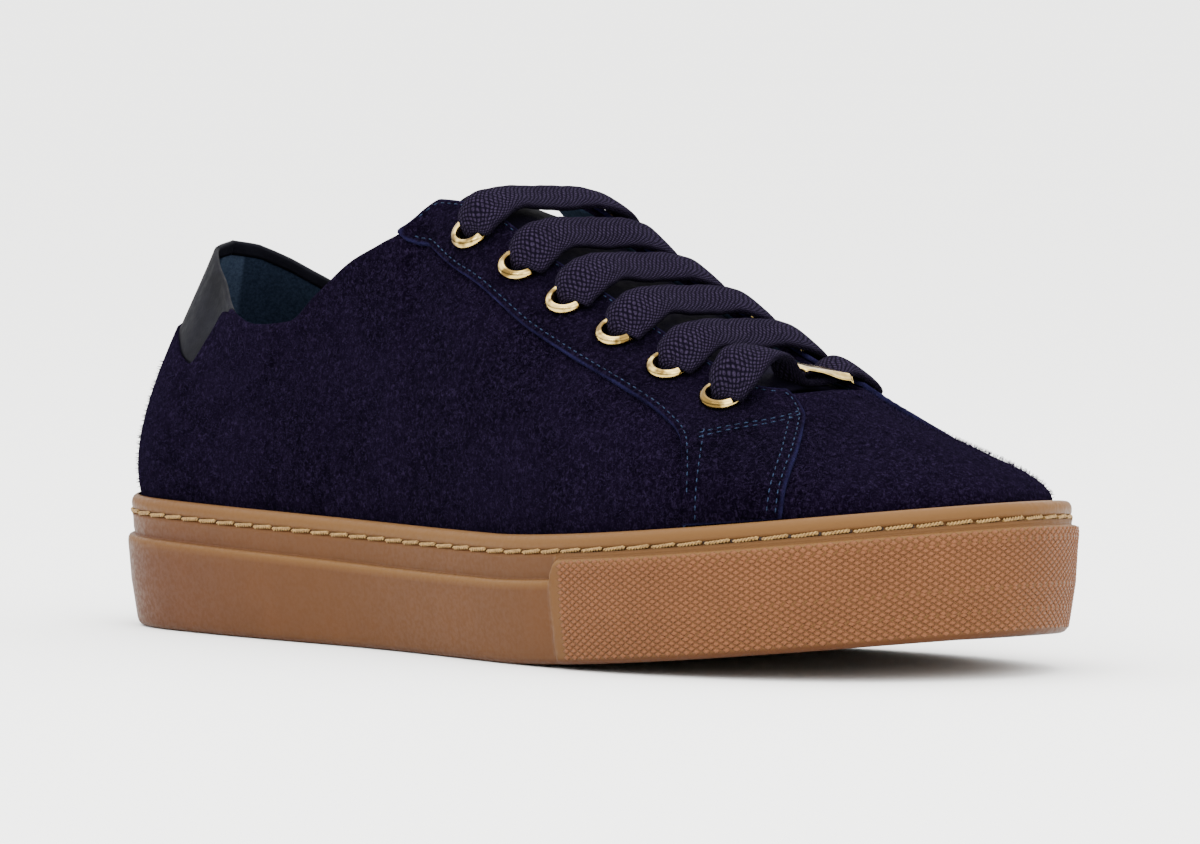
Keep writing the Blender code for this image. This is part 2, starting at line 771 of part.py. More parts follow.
sole()
insole()
upper()
tongue()
eyestay("eyestay_lateral", -1)
eyestay("eyestay_medial", 1)
heel_tab()
for number, (turn, s) in enumerate(eyelet_places()):
    row = "lateral" if number < EYELETS else "medial"
    eyelet(f"eyelet_{row}_{number % EYELETS + 1}", turn, s)
for index in range(EYELETS):
    lace_bar(index)
lace_tag()
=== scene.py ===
import math

import bpy
import bmesh
import numpy as np
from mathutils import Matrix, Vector


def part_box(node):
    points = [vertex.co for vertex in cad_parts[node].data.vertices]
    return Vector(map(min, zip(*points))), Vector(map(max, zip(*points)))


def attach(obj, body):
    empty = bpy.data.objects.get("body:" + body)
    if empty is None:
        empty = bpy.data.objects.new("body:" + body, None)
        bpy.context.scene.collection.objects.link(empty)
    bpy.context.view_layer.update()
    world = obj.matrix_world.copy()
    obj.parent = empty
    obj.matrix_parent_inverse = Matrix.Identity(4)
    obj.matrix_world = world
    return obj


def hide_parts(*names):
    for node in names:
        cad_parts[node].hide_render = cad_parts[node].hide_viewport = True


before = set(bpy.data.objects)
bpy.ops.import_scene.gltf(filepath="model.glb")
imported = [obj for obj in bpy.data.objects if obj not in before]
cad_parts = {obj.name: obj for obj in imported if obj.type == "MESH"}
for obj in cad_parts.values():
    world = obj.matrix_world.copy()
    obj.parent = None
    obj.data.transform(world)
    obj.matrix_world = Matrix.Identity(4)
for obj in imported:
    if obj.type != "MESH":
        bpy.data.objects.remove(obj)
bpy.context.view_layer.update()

# ---- Cup sole
# One moulding of brown gum rubber. Its wall has a lower band with a soft rim, a smooth stretch over it, a sewn
# groove and a rounded top roll, and a knurled wrap stands a little proud round the toe.

MM = 0.001
UP = np.array([0, 0, 1.0])
LENGTH = 300.0
HEEL_ROUND = 74.7
TOE_ROUND = 70.3
TOE_CENTRE = 7.2
SPRING_FROM = 175.0
TOE_SPRING = 10.8
SPRING_POWER = 1.4
WRAP_FROM = 200.0
WRAP_PROUD = 0.7
WRAP_BELOW_TOP = 6.2
WRAP_EDGE = (0.25, 0.45)
WRAP_RISES_OVER = 3.0
STITCH_BELOW_TOP = 4.2
GAP = 0.3
# The rubber is painted darker towards the heel as shade: its paler tones grow in over this length from the heel end.
PAINTED_HEEL_SHADE_TO = 110.0
PALE_LEFT_IN_HEEL_SHADE = 0.65
WALL_PALE_PAST_HEEL_SHADE = 0.30
WRAP_PALE = 0.35
CUP_PALE = 0.6


def table(columns, *rows):
    """A short table, as one array for each named column."""
    return dict(zip(columns.split(), np.array(rows, float).T))


OUTLINE = table(
    "share half_width centre",
    (0.06, 32.2, 0.0),
    (0.14, 38.9, 0.0),
    (0.27, 40.7, -1.3),
    (0.40, 41.4, -2.5),
    (0.52, 46.3, -2.8),
    (0.62, 52.2, -1.5),
    (0.71, 55.3, 0.0),
    (0.80, 54.0, 2.0),
    (0.88, 47.6, 4.2),
    (0.94, 37.4, 5.9),
)
SOLE_SIDE = table(
    "share top band floor cup",
    (0.00, 34.0, 23.8, 19.0, 2.8),
    (0.08, 33.7, 23.4, 18.5, 3.2),
    (0.25, 32.9, 22.3, 17.5, 5.2),
    (0.50, 31.9, 20.9, 14.5, 5.3),
    (0.75, 32.0, 20.9, 12.5, 5.3),
    (1.00, 32.3, 20.9, 12.0, 5.3),
)


def line(xs, ys):
    """A curve through the points that never overshoots them."""
    steps = np.diff(xs)
    rises = np.diff(ys) / steps
    same = rises[:-1] * rises[1:] > 0
    mean = 2 * rises[:-1] * rises[1:] / np.where(same, rises[:-1] + rises[1:], 1)
    slopes = np.concatenate([rises[:1], np.where(same, mean, 0), rises[-1:]])
    return hermite(xs, ys, slopes)


def spline(xs, ys):
    """A natural cubic spline through the points."""
    count = len(xs)
    steps = np.diff(xs)
    rises = np.diff(ys) / steps
    system = 2 * np.eye(count)
    right = np.concatenate([[3 * rises[0]], np.zeros(count - 2), [3 * rises[-1]]])
    system[0, 1] = 1
    system[-1, -2] = 1
    for i in range(1, count - 1):
        system[i, i - 1 : i + 2] = steps[i], 2 * (steps[i - 1] + steps[i]), steps[i - 1]
        right[i] = 3 * (steps[i] * rises[i - 1] + steps[i - 1] * rises[i])
    return hermite(xs, ys, np.linalg.solve(system, right))


def hermite(xs, ys, slopes):
    """A piecewise cubic with the given slopes, held at its ends."""

    def at(x):
        x = np.clip(x, xs[0], xs[-1])
        i = np.clip(np.searchsorted(xs, x, side="right") - 1, 0, len(xs) - 2)
        step = xs[i + 1] - xs[i]
        t = (x - xs[i]) / step
        rise = ys[i + 1] - ys[i]
        curl_in = step * slopes[i] - rise
        curl_out = rise - step * slopes[i + 1]
        return ys[i] + t * rise + t * (1 - t) * ((1 - t) * curl_in + t * curl_out)

    return at


def ease(x, start, end):
    """0 before start, 1 after end, and a smooth rise between them."""
    t = np.clip((x - start) / (end - start), 0, 1)
    return t * t * (3 - 2 * t)


def unit(vectors):
    return vectors / np.linalg.norm(vectors, axis=-1, keepdims=True)


def angle(share):
    """The turn, from 0 to pi, at which the outline reaches this share of the length."""
    return np.arccos(1 - 2 * np.asarray(share, float))


def curve(rows, name):
    """A table's column as a curve over the turns at which the outline reaches its shares."""
    return line(angle(rows["share"]), rows[name])


def outline_curves():
    at = angle(OUTLINE["share"])
    turns = np.concatenate([[0], at, [math.pi]])
    width = np.concatenate([[HEEL_ROUND], OUTLINE["half_width"] / np.sin(at), [TOE_ROUND]])
    centre = np.concatenate([[0], OUTLINE["centre"], [TOE_CENTRE]])
    return spline(turns, width), spline(turns, centre)


half_width_at, centre_at = outline_curves()
band_at, top_at, floor_at = (line(SOLE_SIDE["share"] * LENGTH, SOLE_SIDE[name]) for name in ("band", "top", "floor"))
cup_at = curve(SOLE_SIDE, "cup")


def fold(turn):
    """The turn as it is on the outer side of the foot, and the side: -1 outer, +1 inner."""
    turn = np.mod(turn, math.tau)
    outer = turn <= math.pi
    return np.where(outer, turn, math.tau - turn), np.where(outer, -1.0, 1.0)


def mirrored(half, side):
    """The turn at which one side of the foot lies where this turn lies on its outer side."""
    return half if side < 0 else math.tau - half


def edge_point(turn):
    half, side = fold(turn)
    x = LENGTH / 2 * (1 - np.cos(half))
    return np.stack([x, centre_at(half) + side * half_width_at(half) * np.sin(half)], -1)


def outline(turn, inset):
    """Points of the sole's outline in plan, moved inwards by the inset."""
    small = 1e-4
    along = unit(edge_point(turn + small) - edge_point(turn - small))
    inwards = np.stack([-along[..., 1], along[..., 0]], -1)
    return edge_point(turn) + inwards * np.asarray(inset)[..., None]


def spring(x):
    """Height of the sole's underside over the floor: flat from the heel to the ball, then rising to the toe."""
    past = np.clip((x - SPRING_FROM) / (LENGTH - SPRING_FROM), 0, 1.1)
    return TOE_SPRING * past**SPRING_POWER


def ring(turns, inset, height):
    """A row of points round the shoe, at a height over the sole's underside given by a function of x."""
    flat = outline(turns, np.broadcast_to(inset, turns.shape))
    x = flat[..., 0]
    return np.concatenate([flat, (spring(x) + height(x))[..., None]], -1)


def walked_along(points):
    """The length of a row of points, from its start to each of them."""
    return np.concatenate([[0], np.cumsum(np.linalg.norm(np.diff(points, axis=0), axis=1))])


def evenly(points, step):
    """Where a row of points reaches even steps of its length, as fractional indices."""
    walked = walked_along(points)
    count = max(2, int(round(walked[-1] / step)) + 1)
    return np.interp(np.linspace(0, walked[-1], count), walked, np.arange(len(points)))


def resampled(values, at):
    """Values read at fractional indices."""
    whole = np.arange(len(values))
    if values.ndim == 1:
        return np.interp(at, whole, values)
    return np.stack([np.interp(at, whole, values[:, k]) for k in range(values.shape[1])], -1)


low, high = (np.array(corner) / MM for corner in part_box("sole"))
ROUND = np.linspace(0, math.tau, 900, endpoint=False)
WIDEST = outline(ROUND, -WRAP_PROUD * (edge_point(ROUND)[:, 0] > WRAP_FROM))
ORIGIN = np.append((low + high)[:2] / 2 - (WIDEST.min(axis=0) + WIDEST.max(axis=0)) / 2, 0)


def grid_faces(rows, columns, wrap=False, close=False):
    """Quads between rows of points; wrap joins each row's end to its start, and close the last row to the first."""
    r = np.arange(rows if close else rows - 1)[:, None]
    c = np.arange(columns if wrap else columns - 1)[None, :]
    here, there = r * columns, (r + 1) % rows * columns
    right = (c + 1) % columns
    return np.stack([here + c, here + right, there + right, there + c], -1).reshape(-1, 4)


def in_scene(name, data):
    """A new object of this name, linked into the scene."""
    made = bpy.data.objects.new(name, data)
    bpy.context.scene.collection.objects.link(made)
    return made


def piece(name, points, faces, finishes, face_finish=None):
    """A mesh object, in place, with its faces turned outwards."""
    mesh = bpy.data.meshes.new(name)
    mesh.from_pydata(((np.asarray(points) + ORIGIN) * MM).tolist(), [], [tuple(f) for f in faces])
    made = in_scene(name, mesh)
    for finish in finishes:
        mesh.materials.append(finish)
    if face_finish is not None:
        mesh.polygons.foreach_set("material_index", np.asarray(face_finish, np.int32))
    shape = bmesh.new()
    shape.from_mesh(mesh)
    bmesh.ops.recalc_face_normals(shape, faces=shape.faces)
    shape.to_mesh(mesh)
    shape.free()
    mesh.shade_smooth()
    return made


def ladder(count, start):
    """Faces that fill a row round the shoe with strips across it, from the heel to the toe."""
    half = count // 2
    faces = [(start, start + 1, start + count - 1)]
    for i in range(1, half - 1):
        faces.append((start + i, start + i + 1, start + count - i - 1, start + count - i))
    faces.append((start + half - 1, start + half, start + half + 1))
    return faces


def wired(tree, kind, given=(), output=0, **settings):
    """One output of a new node, after its inputs are set to values or joined to other nodes' sockets."""
    made = tree.nodes.new(kind)
    for name, value in settings.items():
        setattr(made, name, value)
    for label, value in dict(given).items():
        if isinstance(value, bpy.types.NodeSocket):
            tree.links.new(value, made.inputs[label])
        else:
            made.inputs[label].default_value = value
    return made.outputs[output] if made.outputs else None


class Shader:
    """A Principled material under construction, whose nodes are joined by short calls."""

    def __init__(self, name, roughness, gloss=0.5, metallic=0.0):
        self.material = bpy.data.materials.new(name)
        self.material.use_nodes = True
        self.tree = self.material.node_tree
        self.inputs = self.tree.nodes["Principled BSDF"].inputs
        self.inputs["Roughness"].default_value = roughness
        self.inputs["Specular IOR Level"].default_value = gloss
        self.inputs["Metallic"].default_value = metallic
        self.place = wired(self.tree, "ShaderNodeTexCoord", output="Object")

    def noise(self, per_mm, detail=2.0, rough=0.5, place=None, distortion=0.0):
        given = {"Scale": per_mm / MM, "Detail": detail, "Roughness": rough, "Distortion": distortion}
        return wired(self.tree, "ShaderNodeTexNoise", {"Vector": place or self.place, **given})

    def math(self, operation, first, second=0.0):
        return wired(self.tree, "ShaderNodeMath", {0: first, 1: second}, operation=operation)

    def times(self, first, second):
        return self.math("MULTIPLY", first, second)

    def humps(self, value):
        return self.math("ABSOLUTE", self.math("SINE", value))

    def spread(self, value, low, high, to_low=0.0, to_high=1.0):
        given = {"Value": value, "From Min": low, "From Max": high, "To Min": to_low, "To Max": to_high}
        return wired(self.tree, "ShaderNodeMapRange", given, interpolation_type="SMOOTHSTEP")

    def mix(self, share, *colours):
        first, second = ((*colour, 1) if isinstance(colour, tuple) else colour for colour in colours)
        return wired(self.tree, "ShaderNodeMix", {"Factor": share, 6: first, 7: second}, 2, data_type="RGBA")

    def attribute(self, name):
        return wired(self.tree, "ShaderNodeAttribute", output="Fac", attribute_name=name)

    def colour(self, share, first, second):
        self.join("Base Color", self.mix(share, first, second))

    def join(self, label, socket):
        self.tree.links.new(socket, self.inputs[label])

    def bump(self, height, depth_mm, strength=1.0):
        under = [("Normal", link.from_socket) for link in self.inputs["Normal"].links]
        given = {"Height": height, "Distance": depth_mm * MM, "Strength": strength, **dict(under)}
        self.join("Normal", wired(self.tree, "ShaderNodeBump", given))

    def sheen(self, weight, roughness, tint):
        for label, value in (("Weight", weight), ("Roughness", roughness), ("Tint", (*tint, 1))):
            self.inputs["Sheen " + label].default_value = value


def speckled(name, roughness, gloss, per_mm, *tones):
    """A plain matt finish in two close tones."""
    made = Shader(name, roughness, gloss)
    made.colour(made.noise(per_mm), *tones)
    return made.material


def gum_rubber(name, deep, pale):
    """Moulded gum: a warm brown that is paler on rims, lightly mottled, with a fine matt grain. The paleness it reads
    is less towards the heel, as painted shade.
    """
    made = Shader(name, 0.5, 0.08)
    mottle = made.spread(made.noise(0.06, 4.0, 0.6), 0.35, 0.7)
    tone = made.mix(made.times(mottle, 0.45), deep, tuple(c * 1.25 for c in deep))
    made.colour(made.attribute("rim"), tone, pale)
    made.join("Roughness", made.spread(made.noise(0.9, 3.0), 0.3, 0.7, 0.42, 0.6))
    made.bump(made.noise(3.5, 3.0), 0.03, 0.5)
    made.bump(made.noise(0.25), 0.12, 0.4)
    return made.material


GUM = gum_rubber("gum_rubber", (0.050, 0.0160, 0.0044), (0.100, 0.0480, 0.0158))
TREAD_DEPTH = 1.4


def wrap_share(x):
    """How far the toe wrap has come out, and how far its top has risen: it starts with a crisp edge."""
    past = np.clip((x - WRAP_FROM) / WRAP_RISES_OVER, 0, 1)
    return ease(x, WRAP_FROM - WRAP_EDGE[0], WRAP_FROM + WRAP_EDGE[1]), np.sqrt(1 - (1 - past) ** 2)


def rim_height(x):
    """Height of the lower band's rim over the underside: it climbs to near the seam along the wrap."""
    full_rise = top_at(x) - WRAP_BELOW_TOP - band_at(x)
    return band_at(x) + wrap_share(x)[1] * full_rise


def groove_at(x):
    """Height of the sewn groove's middle over the underside."""
    return top_at(x) - STITCH_BELOW_TOP


# Across the wall, from the tread to the cup: base, inset, height over the base, and how pale the rubber shows.
SOLE_PROFILE = (
    ("sole", 14.0, TREAD_DEPTH, 0.0),
    ("sole", 9.0, TREAD_DEPTH, 0.0),
    ("sole", 8.2, 0.2, 0.0),
    ("sole", 7.6, 0.0, 0.0),
    ("sole", 5.2, 0.0, 0.0),
    ("sole", 4.3, 0.05, 0.0),
    ("sole", 3.4, 0.35, 0.1),
    ("sole", 2.8, 0.9, 0.1),
    ("sole", 2.45, 1.7, 0.05),
    ("sole", 2.2, 3.0, 0.0),
    ("sole", 1.5, 7.5, 0.0),
    ("sole", 0.8, 12.0, 0.0),
    ("rim", 0.25, -5.0, 0.05),
    ("rim", 0.02, -2.6, 0.3),
    ("rim", 0.0, -1.5, 0.7),
    ("rim", 0.1, -0.8, 1.0),
    ("rim", 0.4, -0.25, 1.0),
    ("rim", 0.85, 0.0, 0.8),
    ("rim", 1.3, 0.05, 0.25),
    ("rim", 1.62, 0.2, 0.0),
    ("rim", 1.68, 0.6, 0.0),
    ("rim", 1.45, 1.5, 0.1),
    ("groove", 1.25, -1.6, 0.35),
    ("groove", 1.1, -0.95, 0.45),
    ("groove", 1.3, -0.6, 0.3),
    ("groove", 1.75, -0.25, 0.0),
    ("groove", 1.85, 0.05, 0.0),
    ("groove", 1.6, 0.4, 0.2),
    ("groove", 1.15, 0.75, 0.7),
    ("groove", 0.98, 1.3, 0.9),
    ("top", 0.95, -2.0, 0.95),
    ("top", 1.1, -1.3, 1.0),
    ("top", 1.45, -0.65, 1.0),
    ("top", 2.0, -0.22, 1.0),
    ("top", 2.7, -0.05, 1.0),
)


def sole_rings():
    """Rings across the wall's profile, with how pale each of their points is, less so towards the heel as painted
    shade.
    """
    bases = {"sole": lambda x: 0 * x, "rim": rim_height, "groove": groove_at, "top": top_at}
    x = edge_point(ROUND)[:, 0]
    wrapped = wrap_share(x)[0]
    past_heel_shade = ease(x, 0, PAINTED_HEEL_SHADE_TO)
    cup = cup_at(fold(ROUND)[0])
    rings = []
    pale = []
    for base, inset, height, tone in SOLE_PROFILE:
        proud = WRAP_PROUD * wrapped * (base in ("sole", "rim"))
        rings.append(ring(ROUND, inset - proud, lambda x, at=bases[base], height=height: at(x) + height))
        # Past the heel the walls grow paler and the rims keep their full paleness; the darker heel is painted shade.
        wall = (base != "sole" or height > 1.0) * (WALL_PALE_PAST_HEEL_SHADE * past_heel_shade + WRAP_PALE * wrapped)
        pale.append(np.maximum(tone * (PALE_LEFT_IN_HEEL_SHADE + (1 - PALE_LEFT_IN_HEEL_SHADE) * past_heel_shade), wall))
    for inset, down in ((cup - 0.3, 0.3), (cup, 0.9)):
        rings.append(ring(ROUND, inset, lambda x, down=down: top_at(x) - down))
        pale.append(np.full(len(ROUND), CUP_PALE))
    rings.append(ring(ROUND, cup, floor_at))
    pale.append(np.zeros(len(ROUND)))
    return rings, np.concatenate(pale)


def capped(name, rings, finish):
    """A piece from rings round the shoe, filled in across its first ring and its last."""
    count = len(ROUND)
    faces = [*grid_faces(len(rings), count, True), *ladder(count, 0), *ladder(count, (len(rings) - 1) * count)]
    return piece(name, np.concatenate(rings), faces, [finish])


def point_values(made, name, values):
    """Stores a value for each point of a piece, which its material reads by this name."""
    made.data.attributes.new(name, "FLOAT", "POINT").data.foreach_set("value", values.astype(np.float32))


rings, pale = sole_rings()
sole = capped("cup_sole", rings, GUM)
point_values(sole, "rim", pale)
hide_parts("sole")
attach(sole, "root")


def scattered(name, finish, shape, points, along, out, **sizes):
    """Copies of a small shape on the points, laid along one direction and turned to face the other."""
    tree = bpy.data.node_groups.new(name, "GeometryNodeTree")
    for way in ("INPUT", "OUTPUT"):
        tree.interface.new_socket("Geometry", in_out=way, socket_type="NodeSocketGeometry")
    sockets = {
        label: tree.interface.new_socket(label, in_out="INPUT", socket_type="NodeSocketFloat") for label in sizes
    }
    mesh = bpy.data.meshes.new(name)
    mesh.from_pydata(((points + ORIGIN) * MM).tolist(), [], [])
    turn = {}
    for axis, pivot, label, vectors in (("X", "AUTO", "along", along), ("Z", "X", "out", out)):
        vector = wired(tree, "GeometryNodeInputNamedAttribute", {"Name": label}, "Attribute", data_type="FLOAT_VECTOR")
        given = {"Vector": vector, **turn}
        aligned = wired(tree, "FunctionNodeAlignRotationToVector", given, axis=axis, pivot_axis=pivot)
        turn = {"Rotation": aligned}
        values = vectors.astype(np.float32).ravel()
        mesh.attributes.new(label, "FLOAT_VECTOR", "POINT").data.foreach_set("vector", values)
    inputs = tree.nodes.new("NodeGroupInput").outputs
    spots = wired(tree, "GeometryNodeMeshToPoints", {"Mesh": inputs["Geometry"]})
    given = {"Points": spots, "Instance": shape(tree, inputs), **turn}
    placed = wired(tree, "GeometryNodeInstanceOnPoints", given)
    copies = wired(tree, "GeometryNodeRealizeInstances", {"Geometry": placed})
    painted = wired(tree, "GeometryNodeSetMaterial", {"Geometry": copies, "Material": finish})
    wired(tree, "NodeGroupOutput", {"Geometry": painted})
    carrier = in_scene(name, mesh)
    modifier = carrier.modifiers.new(name, "NODES")
    modifier.node_group = tree
    for label, value in sizes.items():
        modifier[sockets[label].identifier] = value * MM
    made = settled(carrier)
    made.data.shade_smooth()
    return made


def settled(carrier):
    """The object with its modifiers worked out and gone."""
    carrier.update_tag()
    bpy.context.view_layer.update()
    graph = bpy.context.evaluated_depsgraph_get()
    name = carrier.name
    mesh = bpy.data.meshes.new_from_object(carrier.evaluated_get(graph))
    carrier.name = name + "_before"
    made = in_scene(name, mesh)
    bpy.data.objects.remove(carrier)
    mesh.name = name
    return made


def scaled(tree, inputs, geometry, labels):
    """The geometry with its X, Y and Z sizes taken from the named inputs."""
    size = wired(tree, "ShaderNodeCombineXYZ", {axis: inputs[label] for axis, label in zip("XYZ", labels)})
    return wired(tree, "GeometryNodeTransform", {"Geometry": geometry, "Scale": size})


def primitive(kind, given, labels=("length", "width", "height")):
    """A shape to scatter: a primitive one unit across, sized by the named inputs."""
    return lambda tree, inputs: scaled(tree, inputs, wired(tree, kind, given), labels)


def cone(sides, tip, *labels):
    """A cone or pyramid to scatter, one unit across and one high, with its tip cut off at this radius."""
    given = {"Vertices": sides, "Radius Top": tip, "Radius Bottom": 0.5, "Depth": 1.0}
    return primitive("GeometryNodeMeshCone", given, labels)


WRAP_LEANS = SOLE_PROFILE[6:12]
WRAP_STANDS = SOLE_PROFILE[12:16]
KNURL_PITCH = 2.75
KNURL_ROW = 0.79
KNURL_FROM = 1.8
KNURL_BELOW_RIM = 0.9
KNURL_PAST_EDGE = 0.012
KNURL_LEAN = -0.10


def wrap_inset(x, height):
    """How far the wrap's wall lies inside the outline at a height: leaning below, upright near its rim."""
    under = rim_height(x)
    _, low_insets, low_heights, _ = zip(*WRAP_LEANS)
    _, high_insets, high_heights, _ = zip(*WRAP_STANDS)
    low = np.interp(height, low_heights, low_insets)
    high = np.interp(height - under, high_heights, high_insets)
    share = np.clip((height - low_heights[-1]) / (under + high_heights[0] - low_heights[-1]), 0, 1)
    return low + (high - low) * share


def laid_along(path, at):
    """Places on a path and the path's directions there, read at fractional indices."""
    return resampled(path, at), resampled(unit(np.gradient(path, axis=0)), at)


def facing_out(tangents, lean=0.0):
    """Directions out of the wall, square to its tangents in plan, tipped up or down by the lean."""
    return np.stack([tangents[:, 1], -tangents[:, 0], 0 * tangents[:, 0] + lean], -1)


def joined(rows):
    """One array each of the places, tangents and normals in the rows."""
    return [np.concatenate(parts) for parts in zip(*rows)]


def knurl():
    """Rows of studs over the toe wrap, each set half a pitch on from the one below."""
    border = angle(WRAP_FROM / LENGTH) + KNURL_PAST_EDGE
    turns = np.linspace(border, math.tau - border, 1600)
    x = edge_point(turns)[:, 0]
    room = rim_height(x) - KNURL_BELOW_RIM - KNURL_FROM
    rows = int(room[len(x) // 2] / KNURL_ROW)
    laid = []
    for row in range(rows + 1):
        height = KNURL_FROM + room * row / rows
        band = ring(turns, wrap_inset(x, height) - WRAP_PROUD, lambda x: height)
        at = evenly(band, KNURL_PITCH)[1:-1]
        if row % 2:
            at = (at[1:] + at[:-1]) / 2
        place, tangent = laid_along(band, at)
        laid.append((place, tangent, unit(facing_out(tangent, KNURL_LEAN))))
    return joined(laid)


GUM_STUDS = gum_rubber("gum_knurl", (0.118, 0.0465, 0.0205), (0.155, 0.0680, 0.0310))
stud = cone(4, 0.16, "length", "width", "height")
studs = scattered("toe_wrap_knurl", GUM_STUDS, stud, *knurl(), length=2.55, width=1.45, height=0.19)
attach(studs, "root")


# ---- Sole stitching
# A thick waxed two-ply thread, sewn by hand through the groove that runs round under the roll. It goes down
# through a punched hole after each long stitch.

SOLE_STITCH = 7.6
SOLE_STITCH_LONG = 6.5
SOLE_THREAD = 0.28
GROOVE_INSET = 1.25
GROOVE_SEAT = 0.05
STITCH_TILT = 0.075
HOLE_DEPTH = 0.45


def twisted_thread(tree, inputs):
    """Two plies wound round each other along X."""
    ply, length = inputs["ply"], inputs["length"]
    plies = tree.nodes.new("GeometryNodeJoinGeometry")
    for start in (0.0, math.pi):
        given = {"Resolution": 7, "Rotations": 3.5, "Start Radius": ply, "End Radius": ply, "Height": length}
        spiral = wired(tree, "GeometryNodeCurveSpiral", given)
        circle = wired(tree, "GeometryNodeCurvePrimitiveCircle", {"Resolution": 6, "Radius": ply})
        tube = wired(tree, "GeometryNodeCurveToMesh", {"Curve": spiral, "Profile Curve": circle, "Fill Caps": True})
        spun = wired(tree, "GeometryNodeTransform", {"Geometry": tube, "Rotation": (0, 0, start)})
        tree.links.new(spun, plies.inputs["Geometry"])
    back = wired(tree, "ShaderNodeMath", {0: length, 1: -0.5}, operation="MULTIPLY")
    given = {"Geometry": plies.outputs[0], "Translation": wired(tree, "ShaderNodeCombineXYZ", {"Z": back})}
    centred = wired(tree, "GeometryNodeTransform", given)
    return wired(tree, "GeometryNodeTransform", {"Geometry": centred, "Rotation": (0, math.pi / 2, 0)})


def waxed_thread():
    made = Shader("waxed_thread", 0.55, 0.3)
    wax = made.spread(made.noise(1.5, 3.0), 0.3, 0.7)
    made.colour(wax, (0.135, 0.074, 0.022), (0.260, 0.155, 0.050))
    made.bump(made.noise(6.0), 0.04, 0.6)
    return made.material


def in_groove(at):
    """Places, tangents and outward directions along the groove, at fractional indices."""
    places, tangents = laid_along(seam, at)
    tangents = unit(tangents)
    return places, tangents, facing_out(tangents)


seam = ring(np.linspace(0, math.tau, 1800), GROOVE_INSET, lambda x: groove_at(x) + GROOVE_SEAT)
at = evenly(seam, SOLE_STITCH)[:-1]
places, tangents, outs = in_groove(at)
slanted = unit(tangents + STITCH_TILT * np.cross(outs, tangents))
thread = scattered(
    "sole_stitching", waxed_thread(), twisted_thread, places, slanted, outs, length=SOLE_STITCH_LONG, ply=SOLE_THREAD
)
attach(thread, "root")

# Each punched hole is a dark dot sunk in the groove: its colour is the hole's painted shade.
PUNCHED_HOLE_SHADE = speckled("punched_hole", 0.9, 0.5, 2.0, (0.010, 0.004, 0.002), (0.022, 0.010, 0.005))
dot = primitive("GeometryNodeMeshIcoSphere", {"Radius": 0.5, "Subdivisions": 2})
places, tangents, outs = in_groove((at + 0.5 * np.diff(at).mean()) % (len(seam) - 1))
places -= HOLE_DEPTH * outs
holes = scattered("sole_stitch_holes", PUNCHED_HOLE_SHADE, dot, places, tangents, outs, length=1.3, width=1.2, height=0.6)
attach(holes, "root")


# ---- Upper
# Quarters and vamp of navy suede over a felt lining, closed on a last and folded over at the collar. The felt is
# bound with a narrow leather top band inside the collar, and a paler strip covers the seam at its heel.

WALL = 2.0
TAB_TIP = 0.110
TAB_END = 0.172
COLLAR_END = 0.412
SECTIONS = table(
    "share x out mid z bulge low slope pull",
    (0.000, 20.5, 0.0, 0.0, 99.2, 4.5, 0.29, 67, 22),
    (0.030, 23.0, 7.8, 0.0, 97.8, 4.5, 0.29, 68, 22),
    (0.070, 29.0, 13.4, 0.0, 94.5, 4.5, 0.29, 70, 22),
    (0.120, 36.5, 17.9, 0.0, 90.0, 4.0, 0.31, 75, 20),
    (0.180, 50.5, 26.6, 0.0, 81.7, 2.8, 0.36, 82, 18),
    (0.230, 64.0, 30.8, 0.0, 79.1, 2.0, 0.40, 85, 18),
    (0.280, 79.0, 32.6, 0.0, 80.4, 2.0, 0.40, 86, 18),
    (0.320, 90.0, 33.2, 0.2, 87.7, 2.0, 0.40, 84, 20),
    (0.360, 102.0, 33.2, 0.5, 96.0, 2.0, 0.42, 78, 24),
    (0.395, 113.0, 32.4, 0.9, 101.3, 2.0, 0.44, 70, 26),
    (0.415, 118.5, 30.5, 1.2, 104.4, 2.0, 0.45, 62, 27),
    (0.435, 120.0, 25.0, 1.1, 108.2, 2.0, 0.46, 50, 28),
    (0.455, 123.0, 20.5, 0.9, 111.2, 2.0, 0.48, 42, 28),
    (0.500, 134.5, 20.0, 0.9, 110.3, 2.0, 0.50, 38, 28),
    (0.600, 160.5, 19.8, 0.9, 98.4, 2.0, 0.52, 37, 27),
    (0.700, 188.0, 19.6, 0.9, 86.6, 2.0, 0.52, 36, 26),
    (0.800, 214.5, 19.2, 0.9, 75.2, 2.0, 0.44, 36, 25),
    (0.880, 234.5, 18.0, 1.4, 68.2, 1.0, 0.35, 34, 24),
    (0.905, 238.5, 14.5, 1.8, 67.6, 0.3, 0.35, 31, 24),
    (0.950, 240.0, 6.5, 2.0, 67.9, -0.5, 0.32, 27, 25),
    (1.000, 240.0, 0.0, 2.2, 68.1, 0.0, 0.35, 26, 25),
)
HEEL_TAB = table(
    "share low",
    (0.000, 0.680),
    (0.025, 0.672),
    (0.060, 0.652),
    (0.090, 0.618),
    (TAB_TIP, 0.608),
    (0.132, 0.767),
    (0.154, 0.930),
    (TAB_END, 0.985),
)
MEDIAL = table(
    "share nearer steeper back",
    (0.000, 0.0, 0, 0.000),
    (0.430, 0.0, 0, 0.000),
    (0.460, 1.5, 4, 0.000),
    (0.520, 4.2, 10, 0.000),
    (0.630, 5.0, 12, 0.000),
    (0.800, 5.0, 12, 0.014),
    (0.885, 3.2, 7, 0.022),
    (0.925, 1.2, 4, 0.016),
    (1.000, 0.0, 0, 0.016),
)
section_at = {name: curve(SECTIONS, name) for name in SECTIONS}
nearer_at = curve(MEDIAL, "nearer")
steeper_at = curve(MEDIAL, "steeper")
back_at = line(angle(MEDIAL["share"]), angle(MEDIAL["share"]) - angle(MEDIAL["share"] - MEDIAL["back"]))
tab_at = curve(HEEL_TAB, "low")


